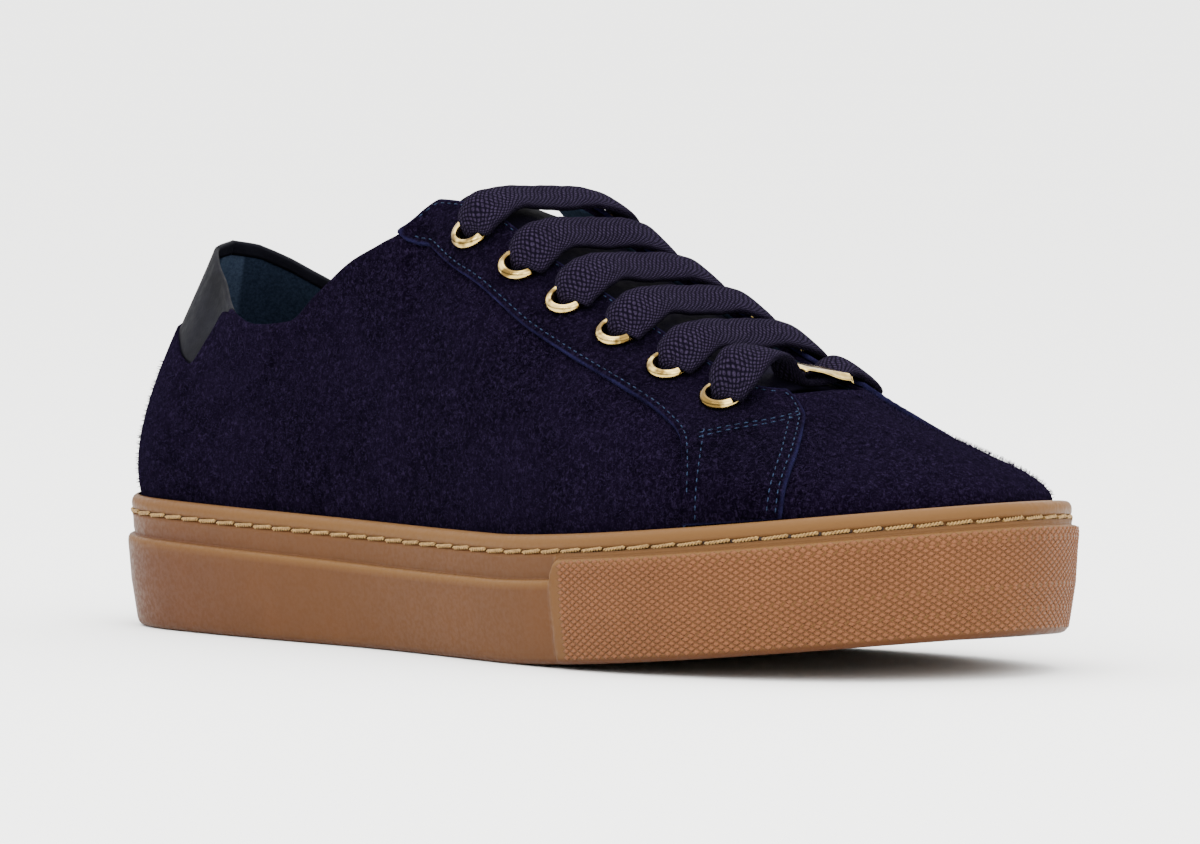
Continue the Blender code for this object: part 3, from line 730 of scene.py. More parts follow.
def upper_point(turn, s):
    """A point of the upper's outer face: s is 0 at the sole's top edge and 1 at the opening's edge."""
    turn, s = np.broadcast_arrays(np.asarray(turn, float), np.asarray(s, float))
    half, side = fold(turn)
    column = {name: section_at[name](half) for name in section_at}
    foot = outline(turn, cup_at(half) + GAP)
    base = spring(foot[..., 0]) + top_at(foot[..., 0])
    inner = side > 0
    edge = np.stack([column["x"], column["mid"] + side * (column["out"] - inner * nearer_at(half))], -1)
    inwards = edge - foot
    reach = np.linalg.norm(inwards, axis=-1)
    inwards /= reach[..., None]
    rise = column["z"] - base
    steep = np.radians(column["slope"] + inner * steeper_at(half))
    out = (0, -column["bulge"], reach - column["pull"] * np.cos(steep), reach)
    up = (0, column["low"] * rise, rise - column["pull"] * np.sin(steep), rise)
    weights = ((1 - s) ** 3, 3 * s * (1 - s) ** 2, 3 * s * s * (1 - s), s**3)
    across = sum(w * o for w, o in zip(weights, out))
    height = sum(w * u for w, u in zip(weights, up))
    return np.concatenate([foot + inwards * across[..., None], (base + height)[..., None]], -1)


def upper_slopes(turn, s):
    """How a point of the upper moves with the turn and with s."""
    small = 1e-3
    around = (upper_point(turn + small, s) - upper_point(turn - small, s)) / (2 * small)
    upwards = (upper_point(turn, s + small) - upper_point(turn, s - small)) / (2 * small)
    return around, upwards


def upper_normal(turn, s):
    return unit(np.cross(*upper_slopes(turn, s)))


def on_upper(turn, s, height=0.0):
    """A point at this height over the upper's outer face."""
    return upper_point(turn, s) + upper_normal(turn, s) * np.asarray(height)[..., None]


def s_walked(turns, distance, down=True):
    """The s that lies this far below the opening's edge, or above the sole's top edge, for each turn."""
    turns = np.atleast_1d(np.asarray(turns, float))
    distance = np.broadcast_to(distance, turns.shape)
    samples = np.linspace(1, 0, 101) if down else np.linspace(0, 1, 101)
    points = upper_point(turns[:, None], samples[None, :])
    steps = np.linalg.norm(np.diff(points, axis=1), axis=-1)
    walked = np.concatenate([np.zeros((len(turns), 1)), np.cumsum(steps, axis=1)], axis=1)
    return np.array([np.interp(d, w, samples) for d, w in zip(distance, walked)])


# Soft creases that the last and the wearer's hand leave: from and to are shares of the length and of the section.
CREASES = table(
    "side from_share from_s to_share to_s width depth",
    (-1, 0.30, 0.20, 0.44, 0.62, 7.0, 0.45),
    (-1, 0.40, 0.16, 0.56, 0.50, 9.0, -0.35),
    (-1, 0.17, 0.16, 0.20, 0.62, 6.0, 0.40),
    (-1, 0.55, 0.12, 0.72, 0.34, 6.0, 0.35),
    (-1, 0.92, 0.20, 0.955, 0.62, 5.0, 0.30),
    (1, 0.92, 0.20, 0.955, 0.62, 5.0, 0.25),
    (1, 0.30, 0.20, 0.44, 0.62, 7.0, 0.45),
    (1, 0.50, 0.12, 0.68, 0.40, 7.0, 0.35),
    (1, 0.17, 0.16, 0.20, 0.62, 6.0, 0.40),
)
CREASE_TAPER = 0.7


def relief(turn, s):
    """Height of the soft troughs and ridges over the plain form of the last."""
    points = upper_point(turn, s)
    total = np.zeros(points.shape[:-1])
    along = np.linspace(0, 1, 25)
    for k, side in enumerate(CREASES["side"]):
        crease = {name: CREASES[name][k] for name in CREASES}
        halves = angle(crease["from_share"] + (crease["to_share"] - crease["from_share"]) * along)
        path = upper_point(mirrored(halves, side), crease["from_s"] + (crease["to_s"] - crease["from_s"]) * along)
        away = np.linalg.norm(points[..., None, :] - path, axis=-1)
        taper = np.sin(math.pi * along[away.argmin(-1)]) ** CREASE_TAPER
        total -= crease["depth"] * taper * np.exp(-((away.min(-1) / crease["width"]) ** 2))
    return total


TURNS = np.linspace(0, math.tau, 680, endpoint=False)
FOLD_RADIUS = WALL / 2
FOLD_LEANS = np.radians((25, 50, 75, 100, 125, 150, 180))
LINING_FROM = 1.8
TAB_STEP = 1.5
TAB_ROW = 0.62
TAB_FADES_OVER = 0.5
BELOW_FOLD = 0.004
FIRST_ABOVE = 0.02
COLLAR_FADE = (0.03, 0.01)
LINING_RELIEF = 0.6
LINING_NEAR_FOLD = 0.16


def collar_share(turns):
    """1 round the collar, fading to 0 where the throat's facings start."""
    return 1 - ease(fold(turns)[0], angle(COLLAR_END - COLLAR_FADE[0]), angle(COLLAR_END + COLLAR_FADE[1]))


def upper_rows():
    """Rows of s from the sole to a row that follows the heel tab's lower edge, and on from it to the fold."""
    half = fold(TURNS)[0]
    fold_s = s_walked(TURNS, FOLD_RADIUS)
    in_tab = half < angle(TAB_END)
    tab_share = 1 - ease(half, angle(TAB_END), angle(TAB_END) + TAB_FADES_OVER)
    corner = np.where(in_tab, tab_at(half), HEEL_TAB["low"][-1])
    middle = np.minimum(TAB_ROW + (corner - TAB_ROW) * tab_share, fold_s - BELOW_FOLD)
    low = np.linspace(0, 1, 46)[:, None] * middle
    first = np.where(in_tab, 0.0, FIRST_ABOVE)
    high = middle + (first + np.linspace(0, 1, 30)[:, None] * (1 - first)) * (fold_s - middle)
    return low, high, in_tab, fold_s


def folded(turns, fold_s, radius, depth):
    """Rows round the collar's fold, from its outer side to its inner, about a centre this deep below the face."""
    normal = upper_normal(turns, fold_s)
    upwards = unit(upper_slopes(turns, fold_s)[1])
    middle = upper_point(turns, fold_s) - normal * depth
    return [middle + radius * (math.cos(lean) * normal + math.sin(lean) * upwards) for lean in FOLD_LEANS]


def upper_shell():
    """Rows of points up the wall's outer face, over the fold and down its inner face, and how many are outer."""
    low, high, in_tab, fold_s = upper_rows()
    inset = cup_at(fold(TURNS)[0]) + GAP
    rows = [ring(TURNS, inset, lambda x: floor_at(x) + GAP)]
    rows += [on_upper(TURNS, s, relief(TURNS, s)) for s in low]
    rows += [on_upper(TURNS, s, relief(TURNS, s) - TAB_STEP * in_tab) for s in high]
    radius = (FOLD_RADIUS - 0.5 * TAB_STEP * in_tab)[:, None]
    rows += folded(TURNS, fold_s, radius, WALL - radius)
    outer = len(rows) - sum(FOLD_LEANS > LINING_FROM)
    for share in (*np.linspace(0.02, LINING_NEAR_FOLD, 6)[1:], *np.linspace(LINING_NEAR_FOLD, 1.0, 26)[1:]):
        s = fold_s * (1 - share)
        rows.append(on_upper(TURNS, s, -WALL + LINING_RELIEF * relief(TURNS, s)))
    rows.append(ring(TURNS, inset + WALL, lambda x: floor_at(x) + GAP))
    return np.array(rows), outer


def navy_suede(name, light):
    """Suede: matt, with a deep nap that lies lighter and darker in patches, and short fibres that catch light."""
    made = Shader(name, 0.95, 0.0)
    patches = made.spread(made.noise(0.05, 3.0, 0.6, distortion=0.8), 0.34, 0.68)
    stretched = wired(made.tree, "ShaderNodeMapping", {"Vector": made.place, "Scale": (1.0, 1.0, 0.85)})
    fibres = made.noise(1.15, 4.0, 0.8, stretched, 1.0)
    tufts = made.noise(0.38, 3.0, 0.65)
    tones = (0.0009, 0.0004, 0.0017), (0.0024, 0.0012, 0.0046), (0.0180, 0.0115, 0.0320)
    deep, rich, pale = (tuple(light * c for c in tone) for tone in tones)
    tone = made.mix(patches, deep, rich)
    tone = made.mix(made.spread(tufts, 0.42, 0.68), tone, rich)
    tone = made.mix(made.times(made.spread(fibres, 0.46, 0.70), 0.62), tone, pale)
    worn = made.times(made.attribute("raw"), made.spread(made.noise(0.12, 3.0, 0.7), 0.30, 0.75, 0.25, 1.0))
    hide = made.mix(made.noise(1.5), (0.0070, 0.0064, 0.0230), (0.0165, 0.0150, 0.0560))
    made.colour(worn, tone, hide)
    made.bump(fibres, 0.60, 1.0)
    made.bump(tufts, 0.45, 0.6)
    made.sheen(0.015, 0.5, (0.30, 0.28, 0.55))
    return made.material


def teal_felt():
    """Felt lining: flat and fibrous, paler on the strip up the back of the heel."""
    made = Shader("teal_felt", 0.95, 0.0)
    fuzz = made.noise(1.3, 4.0, 0.7)
    matted = made.spread(fuzz, 0.3, 0.7)
    tone = made.mix(matted, (0.0055, 0.0088, 0.0170), (0.0125, 0.0190, 0.0340))
    strip = made.mix(matted, (0.0165, 0.0255, 0.0440), (0.0310, 0.0430, 0.0700))
    made.colour(made.attribute("strip"), tone, strip)
    made.bump(fuzz, 0.25, 0.8)
    made.sheen(0.03, 0.5, (0.4, 0.6, 0.7))
    return made.material


def smooth_leather(name, colour, roughness, gloss):
    """Fine-grained black leather with a satin finish."""
    made = Shader(name, roughness, gloss)
    pale = tuple(c * 1.7 for c in colour)
    made.colour(made.spread(made.noise(0.08, 3.0), 0.35, 0.7), colour, pale)
    made.join("Roughness", made.spread(made.noise(0.35, 3.0), 0.3, 0.7, roughness - 0.05, roughness + 0.09))
    pores = {"Vector": made.place, "Scale": 1.7 / MM}
    made.bump(wired(made.tree, "ShaderNodeTexVoronoi", pores, feature="SMOOTH_F1"), 0.05, 0.6)
    made.bump(made.noise(0.12, 3.0), 0.35, 0.35)
    return made.material


SUEDE = navy_suede("navy_suede", 1.0)
FELT = teal_felt()
BINDING = smooth_leather("binding_leather", (0.003, 0.003, 0.004), 0.40, 0.14)
BINDING_DEPTH = 1.7
HEEL_STRIP = (0.15, 0.19)

EYELETS = 6
EYELET_ROW = (0.508, 0.830)
EYELET_FROM_EDGE = (10.6, 12.4)
EYELET_HOLE = 4.3
EYELET_HEIGHT = 1.5
FLANGE_CLEAR = 0.8
OVERLAY = 1.1


def eyelet_places():
    """Turn and s of each eyelet, outer row first, from the collar to the toe."""
    halves = angle(np.linspace(*EYELET_ROW, EYELETS))
    s = s_walked(halves, np.linspace(*EYELET_FROM_EDGE, EYELETS))
    return np.concatenate([halves, math.tau - halves]), np.concatenate([s, s])


def clear_of_eyelets(points, faces):
    """Which faces are clear of the eyelets' barrels: the flanges cover the holes' edges."""
    centres = upper_point(*eyelet_places())
    middles = points[faces].mean(axis=1)
    near = np.linalg.norm(middles[:, None] - centres, axis=-1).min(axis=1)
    return near > EYELET_HOLE


rows, outer = upper_shell()
count = len(TURNS)
points = rows.reshape(-1, 3)
faces = grid_faces(len(rows), count, True, True)
inner = np.arange(len(points)) >= outer * count
bound = inner & (np.linalg.norm(rows - rows[outer - 1], axis=-1).ravel() < BINDING_DEPTH)
bound &= np.tile(collar_share(TURNS) > 0.5, len(rows))
finish = np.where(bound[faces].sum(axis=1) > 2, 2, inner[faces].all(axis=1))
kept = clear_of_eyelets(points, faces)
upper = piece("upper", points, faces[kept], [SUEDE, FELT, BINDING], finish[kept])
point_values(upper, "strip", np.tile(1 - ease(fold(TURNS)[0], *HEEL_STRIP), len(rows)))
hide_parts("upper")
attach(upper, "root")


# ---- Heel tab
# A patch of smooth black leather let into the suede at the back of the collar, cut to a shallow V below. It is
# folded over the collar's edge and stitched down inside.

TAB_BELOW = 0.75
TAB_THICK = 0.7
TAB_INSIDE = 3.0
TAB_OVER_FELT = 0.2
tab_turns = np.linspace(-angle(TAB_END), angle(TAB_END), 121)


def tab_section(depth):
    """Rows over the tab at a depth below the suede's face: up the outside, over the fold and down inside."""
    fold_s = s_walked(tab_turns, FOLD_RADIUS)
    low = np.minimum(tab_at(abs(tab_turns)), fold_s) - BELOW_FOLD
    rows = [on_upper(tab_turns, low + (fold_s - low) * t, -depth) for t in np.linspace(0, 1, 26)]
    radius = (WALL + TAB_OVER_FELT - TAB_BELOW) / 2 - (depth - TAB_BELOW)
    rows += folded(tab_turns, fold_s, radius, depth + radius)
    inside = s_walked(tab_turns, FOLD_RADIUS + TAB_INSIDE)
    for t in (0.35, 0.7, 1.0):
        rows.append(on_upper(tab_turns, fold_s + (inside - fold_s) * t, -depth - 2 * radius))
    return rows


outer = tab_section(TAB_BELOW)
under = tab_section(TAB_BELOW + TAB_THICK)
rows = np.array(outer + under[::-1])
count = len(tab_turns)
caps = [tuple(range(0, len(rows) * count, count)), tuple(range(count - 1, len(rows) * count, count))]
faces = [*grid_faces(len(rows), count, False, True), *caps]
TAB_LEATHER = smooth_leather("heel_tab_leather", (0.0028, 0.0028, 0.0042), 0.45, 0.02)
tab = piece("heel_tab", rows.reshape(-1, 3), faces, [TAB_LEATHER])
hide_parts("heel_tab")
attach(tab, "root")


# ---- Nap and vents
# The suede's longer fibres, which stand out along every edge against the light, and four small vent holes
# punched through the inner side below the lacing.

NAP_FIBRES = 15000
NAP_LENGTH = 1.1
NAP_THICK = 0.2
NAP_SPREAD = 0.35
NAP_CLEAR_OF_TAB = (0.03, 0.55)
VENT = 1.5
VENTS = table("share s", (0.455, 0.563), (0.400, 0.476), (0.498, 0.213), (0.558, 0.431))
NAP = speckled("suede_nap", 0.95, 0.0, 0.5, (0.0030, 0.0018, 0.0060), (0.0170, 0.0120, 0.0330))
# The vent holes are flat dots whose dark colour is the holes' painted shade.
VENT_SHADE = speckled("vent_dark", 0.95, 0.0, 2.0, (0.0006, 0.0004, 0.0008), (0.0014, 0.0010, 0.0018))

chance = np.random.default_rng(11)
turn = angle(chance.uniform(0.002, 0.998, NAP_FIBRES))
turn = np.where(chance.uniform(size=NAP_FIBRES) < 0.5, turn, math.tau - turn)
s = chance.uniform(0.03, 0.97, NAP_FIBRES)
bare = (fold(turn)[0] < angle(TAB_END) + NAP_CLEAR_OF_TAB[0]) & (s > NAP_CLEAR_OF_TAB[1])
turn, s = turn[~bare], s[~bare]
normal = upper_normal(turn, s)
lean = unit(normal + chance.normal(0, NAP_SPREAD, normal.shape))
sideways = unit(np.cross(lean, normal) + 0.001)
fibre = cone(3, 0.0, "thickness", "thickness", "length")
nap = scattered("suede_nap", NAP, fibre, upper_point(turn, s), sideways, lean, length=NAP_LENGTH, thickness=NAP_THICK)
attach(nap, "root")

# Each vent is a flat dark dot standing for the hole's painted shade.
turn, s = math.tau - angle(VENTS["share"]), VENTS["s"]
place, toward, normal = upper_point(turn, s), unit(upper_slopes(turn, s)[0]), upper_normal(turn, s)
vents = scattered("vent_holes", VENT_SHADE, dot, place, toward, normal, length=VENT, width=VENT, height=0.14)
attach(vents, "root")


# ---- Eyestays
# One suede overlay to each side: a facing along the throat that carries the eyelets, and a strap that runs from
# it down to the sole. Their edges are cut raw, which shows the paler hide, and they are lockstitched down.

FACING = table(
    "share reach",
    (0.412, 0.8),
    (0.427, 6.7),
    (0.455, 15.5),
    (0.505, 23.0),
    (0.570, 25.9),
    (0.630, 27.1),
    (0.750, 28.4),
    (0.781, 31.0),
    (0.791, 34.0),
    (0.796, 40.0),
    (0.799, 50.0),
    (0.800, 80.0),
)
STRAP_REAR = 0.800
STRAP_FRONT = table(
    "s share",
    (0.00, 0.885),
    (0.20, 0.888),
    (0.40, 0.895),
    (0.63, 0.908),
    (0.75, 0.916),
    (0.83, 0.921),
    (0.93, 0.917),
    (1.00, 0.905),
)
STAY_TOP = GAP + OVERLAY
STAY_UNDER = 0.05
STAY_ROWS = 34
STAY_STEP = 1.1
STAY_ROUNDING = ((0.22, 0.06), (0.8, 0.2))
STAY_EDGE = (0.30, 0.06, 0.0)
RAW_EDGE = (1.0, 0.75, 0.0)
ABOVE_SOLE = 0.4
facing_at = curve(FACING, "reach")
strap_front_at = line(STRAP_FRONT["s"], angle(STRAP_FRONT["share"]))


def on_side(half, side):
    """The turn of a place on one side's overlay. The inner strap lies further back."""
    return mirrored(half, side) + (back_at(half) if side > 0 else 0)


def stay_low(halves, side):
    """The s of the overlay's lower edge."""
    turns = on_side(halves, side)
    return np.maximum(s_walked(turns, ABOVE_SOLE, False), s_walked(turns, facing_at(halves)))


def edge_shares(length):
    """Rows across a panel, as shares of its length, with two close to each edge for its rounding."""
    length = np.asarray(length, float)
    first, second = (np.minimum(inset, most * length) / length for inset, most in STAY_ROUNDING)
    inner = np.linspace(0, 1, STAY_ROWS - 4)[:, None] * (1 - 2 * second) + second
    return np.concatenate([[0 * first, first], inner, [1 - first, 1 + 0 * first]])


def stay_grid(side):
    """Turn and s over one overlay, columns from its rear tip to the strap's front edge."""
    fine = np.linspace(angle(FACING["share"][0]), angle(STRAP_REAR), 700)
    halves = resampled(fine, evenly(upper_point(on_side(fine, side), stay_low(fine, side)), STAY_STEP))
    low = stay_low(halves, side)
    turns = on_side(halves, side)
    length = np.linalg.norm(upper_point(turns, low) - upper_point(turns, 1.0 + 0 * low), axis=-1)
    s = low + (1 - low) * edge_shares(length)
    turn = np.broadcast_to(halves, s.shape)
    across = np.array([*np.linspace(0, 0.96, 20)[1:], 0.99, 1.0])
    s_strap = np.repeat(s[:, -1:], len(across), axis=1)
    rear = angle(STRAP_REAR)
    turn_strap = rear + (strap_front_at(s_strap) - rear) * across
    return on_side(np.concatenate([turn, turn_strap], axis=1), side), np.concatenate([s, s_strap], axis=1)


def from_border(rows, columns):
    """0 on a grid's border, 1 on the next row of points in, and 2 over the rest."""
    r, c = np.arange(rows)[:, None], np.arange(columns)[None, :]
    return np.minimum(np.minimum(np.minimum(r, rows - 1 - r), np.minimum(c, columns - 1 - c)), 2)


def slab_mesh(top, bottom):
    """Points and faces of a body between two grids of points."""
    rows, columns = top.shape[:2]
    under = rows * columns
    faces = grid_faces(rows, columns)
    whole = np.arange(under).reshape(rows, columns)
    rim = np.concatenate([whole[0], whole[1:, -1], whole[-1, -2::-1], whole[-2:0:-1, 0]])
    after = np.roll(rim, -1)
    walls = np.stack([after, rim, under + rim, under + after], -1)
    return (
        np.concatenate([top.reshape(-1, 3), bottom.reshape(-1, 3)]),
        np.concatenate([faces, under + faces[:, ::-1], walls]),
    )


STAY_SUEDE = navy_suede("eyestay_suede", 0.8)
for name, side in (("eyestay_lateral", -1), ("eyestay_medial", 1)):
    turn, s = stay_grid(side)
    step = from_border(*turn.shape)
    lift = relief(turn, s)
    top = on_upper(turn, s, lift + STAY_TOP - np.choose(step, STAY_EDGE))
    bottom = on_upper(turn, s, lift + STAY_UNDER)
    points, faces = slab_mesh(top, bottom)
    stay = piece(name, points, faces[clear_of_eyelets(points, faces)], [STAY_SUEDE])
    raw = np.concatenate([np.choose(step, RAW_EDGE).ravel(), (step < 1).ravel()])
    point_values(stay, "raw", raw)
    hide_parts(name)
    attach(stay, "root")


# ---- Upper stitching
# Blue thread, lockstitched in short even stitches. One row follows the overlay's edges, a second one runs down
# each side of the strap, and a double row crosses the strap where it leaves the facing.

STITCH_PITCH = 2.3
EDGE_ROW = 1.5
INNER_ROW = (3.6, 3.7)
THROAT_ROW = 1.7
ROWS_APART = 1.6
STITCH_LIFT = 0.02
FACING_SEAM_FROM = 0.428
THROAT_SEAM = (0.432, 0.895)
STRAP_SEAM = (0.03, 0.985)
SECOND_SEAM_TO = 0.80
CROSSING_SEAM = (0.8085, 0.916)
CROSSING = table("share below", (0.8065, 31.0), (0.859, 17.8), (0.912, 11.1))


def slide(turn, s, shift):
    """The place on the upper that a small shift leads to."""
    around, upwards = upper_slopes(turn, s)
    aa, ab, bb = (around * around).sum(-1), (around * upwards).sum(-1), (upwards * upwards).sum(-1)
    a, b = (shift * around).sum(-1), (shift * upwards).sum(-1)
    spread = aa * bb - ab * ab
    return turn + (bb * a - ab * b) / spread, s + (aa * b - ab * a) / spread


def beside(turn, s, inset, inwards):
    """A path moved to one side over the upper; inwards is +1 where the panel lies left of the path."""
    for _ in range(3):
        path = upper_point(turn, s)
        along = unit(np.gradient(path, axis=0))
        turn, s = slide(turn, s, inwards * inset / 3 * unit(np.cross(upper_normal(turn, s), along)))
    return turn, s


def seam_paths(side):
    """Every row of stitches on one overlay, as turn and s along it."""
    rear = np.linspace(*angle([FACING_SEAM_FROM, STRAP_REAR]), 500)
    up_rear = np.linspace(STRAP_SEAM[0], s_walked(angle([STRAP_REAR]), CROSSING["below"][0])[0] + 0.02, 80)
    up_front = np.linspace(*STRAP_SEAM, 200)
    front = strap_front_at(up_front)
    throat = np.linspace(*angle(THROAT_SEAM), 300)
    cross = np.linspace(*angle(CROSSING_SEAM), 60)
    cross_low = spline(angle(CROSSING["share"]), CROSSING["below"])(cross)
    lower = up_front < SECOND_SEAM_TO
    for halves, s, inset, facing in (
        (rear, stay_low(rear, side), EDGE_ROW, 1),
        (np.full(80, angle(STRAP_REAR)), up_rear, INNER_ROW[0], -1),
        (front, up_front, EDGE_ROW, 1),
        (front[lower], up_front[lower], INNER_ROW[1], 1),
    ):
        yield beside(on_side(halves, side), s, inset, -side * facing)
    for halves, below in ((throat, THROAT_ROW), (cross, cross_low), (cross, cross_low + ROWS_APART)):
        turns = on_side(halves, side)
        yield turns, s_walked(turns, below)


def blue_thread():
    made = Shader("blue_thread", 0.6, 0.05)
    twist = made.noise(2.6)
    shine = made.spread(twist, 0.35, 0.65)
    made.colour(shine, (0.0022, 0.0045, 0.0125), (0.0145, 0.0262, 0.0570))
    made.bump(twist, 0.08, 0.7)
    return made.material


laid = []
for side in (-1, 1):
    for turn, s in seam_paths(side):
        path = on_upper(turn, s, relief(turn, s) + STAY_TOP + STITCH_LIFT)
        at = evenly(path, STITCH_PITCH)
        at = (at[1:] + at[:-1]) / 2
        place, tangent = laid_along(path, at)
        laid.append((place, unit(tangent), unit(resampled(upper_normal(turn, s), at))))
grain = primitive("GeometryNodeMeshUVSphere", {"Segments": 6, "Rings": 4, "Radius": 0.5})
stitches = scattered("upper_stitching", blue_thread(), grain, *joined(laid), length=1.5, width=0.40, height=0.36)
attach(stitches, "root")


# ---- Footbed
# A moulded insole covered with the lining's felt, dished a little under the heel.

INSOLE_CLEAR = 0.4


def footbed_rings():
    inset = cup_at(fold(ROUND)[0]) + GAP + WALL + INSOLE_CLEAR
    shape = ((0, 0.0), (0, 2.6), (0.15, 3.3), (0.6, 3.8), (1.4, 4.0), (3.0, 3.9), (6.0, 3.6), (10.0, 3.3), (16.0, 3.1))
    return [ring(ROUND, inset + extra, lambda x, height=height: floor_at(x) + GAP + height) for extra, height in shape]


footbed = capped("insole", footbed_rings(), FELT)
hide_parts("insole")
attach(footbed, "root")


# ---- Tongue
# A padded tongue faced with smooth black leather. It is sewn in under the vamp and has slipped a little to the
# outer side, so that daylight shows past it at the top of the inner facing.

TONGUE_THICK = 3.0
TONGUE_CLEAR = 0.8
TONGUE_TOP = (0.458, 0.535)
TONGUE_FRONT = 0.880
TONGUE_TUCK = (13.0, 8.0, 3.0, 0.0)
TONGUE_TUCKED_TOP = 0.3
TONGUE_ARCH = 3.0
TONGUE_CURL = 5.5
TONGUE_EDGE = (0.32, 0.08, 0.0)


def tongue_row(down, depth):
    """Points across the tongue at a share of the way from its top edge down to its front edge."""
    halves = [float(angle(top + (TONGUE_FRONT - top) * down)) for top in TONGUE_TOP]
    reach = TONGUE_TUCKED_TOP + (1 - TONGUE_TUCKED_TOP) * min(1, 4 * down)
    tuck = np.interp(np.linspace(0, 3, 13), range(4), TONGUE_TUCK) * reach
    wings = []
    for half, side in zip(halves, (-1, 1)):
        s = s_walked(np.full(len(tuck), half), tuck)
        wings.append(on_upper(mirrored(half, side), s, depth))
    left, right = (wing[-1] for wing in wings)
    t = np.linspace(0, 1, 30)[1:-1, None]
    curl = TONGUE_CURL * (1 - down) ** 4 * np.sin(math.pi * t**0.5) ** 2
    arch = TONGUE_ARCH * down * 4 * t * (1 - t)
    span = left + (right - left) * t + (curl + arch) * UP
    return np.concatenate([wings[0], span, wings[1][::-1]])


downs = np.array([0, 0.004, 0.014, *np.linspace(0.03, 0.985, 44), 1.0])
top = np.array([tongue_row(down, -WALL - TONGUE_CLEAR) for down in downs])
bottom = np.array([tongue_row(down, -WALL - TONGUE_CLEAR - TONGUE_THICK) for down in downs])
sink = np.choose(from_border(*top.shape[:2]), TONGUE_EDGE)[..., None]
points, faces = slab_mesh(top + (bottom - top) * sink, bottom + (top - bottom) * sink)
TONGUE_LEATHER = smooth_leather("tongue_leather", (0.0022, 0.0018, 0.0040), 0.6, 0.004)
tongue = piece("tongue", points, faces, [TONGUE_LEATHER])
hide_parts("tongue")
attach(tongue, "root")


# ---- Eyelets
# Twelve two-part brass eyelets with a bright gold finish, each a domed flange rolled into a short barrel that is
# clenched through the facing.

SEAT = GAP + OVERLAY + FLANGE_CLEAR
EYELET_PROFILE = table(
    "radius height",
    (3.00, -2.0),
    (3.50, -2.0),
    (3.50, SEAT - 0.25),
    (5.30, SEAT - 0.45),
    (5.50, SEAT - 0.25),
    (5.50, SEAT + 0.15),
    (5.30, SEAT + 0.65),
    (4.95, SEAT + 1.05),
    (4.50, SEAT + 1.35),
    (4.10, SEAT + 1.45),
    (3.75, SEAT + 1.35),
    (3.40, SEAT + 0.95),
    (3.15, SEAT + 0.35),
    (3.00, SEAT - 0.4),
)


def gold_plate(name, dark):
    """Bright plated brass with a faint haze of fine rubbing, and darker patches painted into its colour as reflections
    of dark surroundings.
    """
    made = Shader(name, 0.16, metallic=1.0)
    # The darker tone mixed in by broad noise is painted reflection, not the plating's own colour.
    made.colour(made.spread(made.noise(0.24), 0.42, 0.60), dark, (0.54, 0.385, 0.125))
    made.join("Roughness", made.spread(made.noise(2.2, 4.0, 0.7), 0.35, 0.75, 0.10, 0.24))
    made.bump(made.noise(1.4), 0.02, 0.5)
    return made.material


GOLD = gold_plate("gold_plate", (0.105, 0.064, 0.017))
TAG_GOLD = gold_plate("gold_tag", (0.33, 0.225, 0.072))
SIDES = 48
spin = np.linspace(0, math.tau, SIDES, endpoint=False)[None, :]
radius, height = (EYELET_PROFILE[name][:, None] for name in ("radius", "height"))
lathe = np.stack([radius * np.cos(spin), radius * np.sin(spin), height + 0 * spin], -1)
pattern = piece("eyelet_pattern", lathe.reshape(-1, 3) - ORIGIN, grid_faces(len(radius), SIDES, True, True), [GOLD])


def one_eyelet(tree, inputs):
    """The turned eyelet, sized by the named input."""
    turned = wired(tree, "GeometryNodeObjectInfo", {"Object": pattern}, "Geometry")
    return scaled(tree, inputs, turned, ("size", "size", "size"))


turn, s = eyelet_places()
small = slide(turn, s, UP + 0 * upper_point(turn, s))
toward = unit(upper_point(*small) - upper_point(turn, s))
eyelets = scattered("eyelets", GOLD, one_eyelet, upper_point(turn, s), toward, upper_normal(turn, s), size=1 / MM)
bpy.data.objects.remove(pattern)
names = [f"eyelet_{row}_{number}" for row in ("lateral", "medial") for number in range(1, EYELETS + 1)]
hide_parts(*names)
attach(eyelets, "root")


# ---- Laces
# Flat tubular cotton braid, about ten millimetres wide and puffy. Six bars cross the throat. Each one comes up
# out of an outer eyelet, runs level and goes down an inner one, gathered to pass the barrel.

BAR_WIDTH = 9.0
BAR_ARCH = 6.4
BAR_POWER = 4.0
BARS = table(
    "clear twist dip slump free taut lift sag",
    *((clear, 18, 0, 4.6, 9, 24, 0, 0) for clear in (1.7, 0.6, 0.5, 0.15, 0.0)),
    (0.0, -16, 4, 5.6, 12, 23, 3, 3),
)
LACE_HALF = 5.1
LACE_PUFF = 1.1
LACE_MIDDLE = 1.4
LACE_STEP = 0.7
LACE_WOBBLE = ((0.14, 0.55, 1.7), (0.08, 1.3, 0.9))
LACE_SIDES = 32
LACE_SQUARED = (0.75, 0.5)
OVER_BAR = (0.09, 0.91)
IN_BARREL = ((-2.3, 0), (-0.2, 0.5), (2.2, 1.1))
GATHERED_HALF = 2.6
GATHERED_PUFF = 1.8
GATHERED_FOR = (3.3, 7.5)
SLUMP_FROM = (3.2, 10.0)
SLUMP_POWER = 1.4
LIFTED = (0.06, 0.20, 0.38, 0.48)
SAGGED = (0.41, 0.50, 0.62, 0.76)
STRAND = 1.35
STRANDS_ROUND = 24


def bar_frame(index):
    """Ends of a bar over its two eyelets, its width direction and its upward direction."""
    turn, s = eyelet_places()
    height = SEAT + EYELET_HEIGHT + BARS["clear"][index]
    pair = [index, index + EYELETS]
    left, right = on_upper(turn[pair], s[pair], height)
    across = unit(right - left)
    slope = upper_point(turn[index] + 0.05, 1.0) - upper_point(turn[index] - 0.05, 1.0)
    width = unit(slope - across * slope.dot(across))
    return left, right, width, np.cross(width, across)


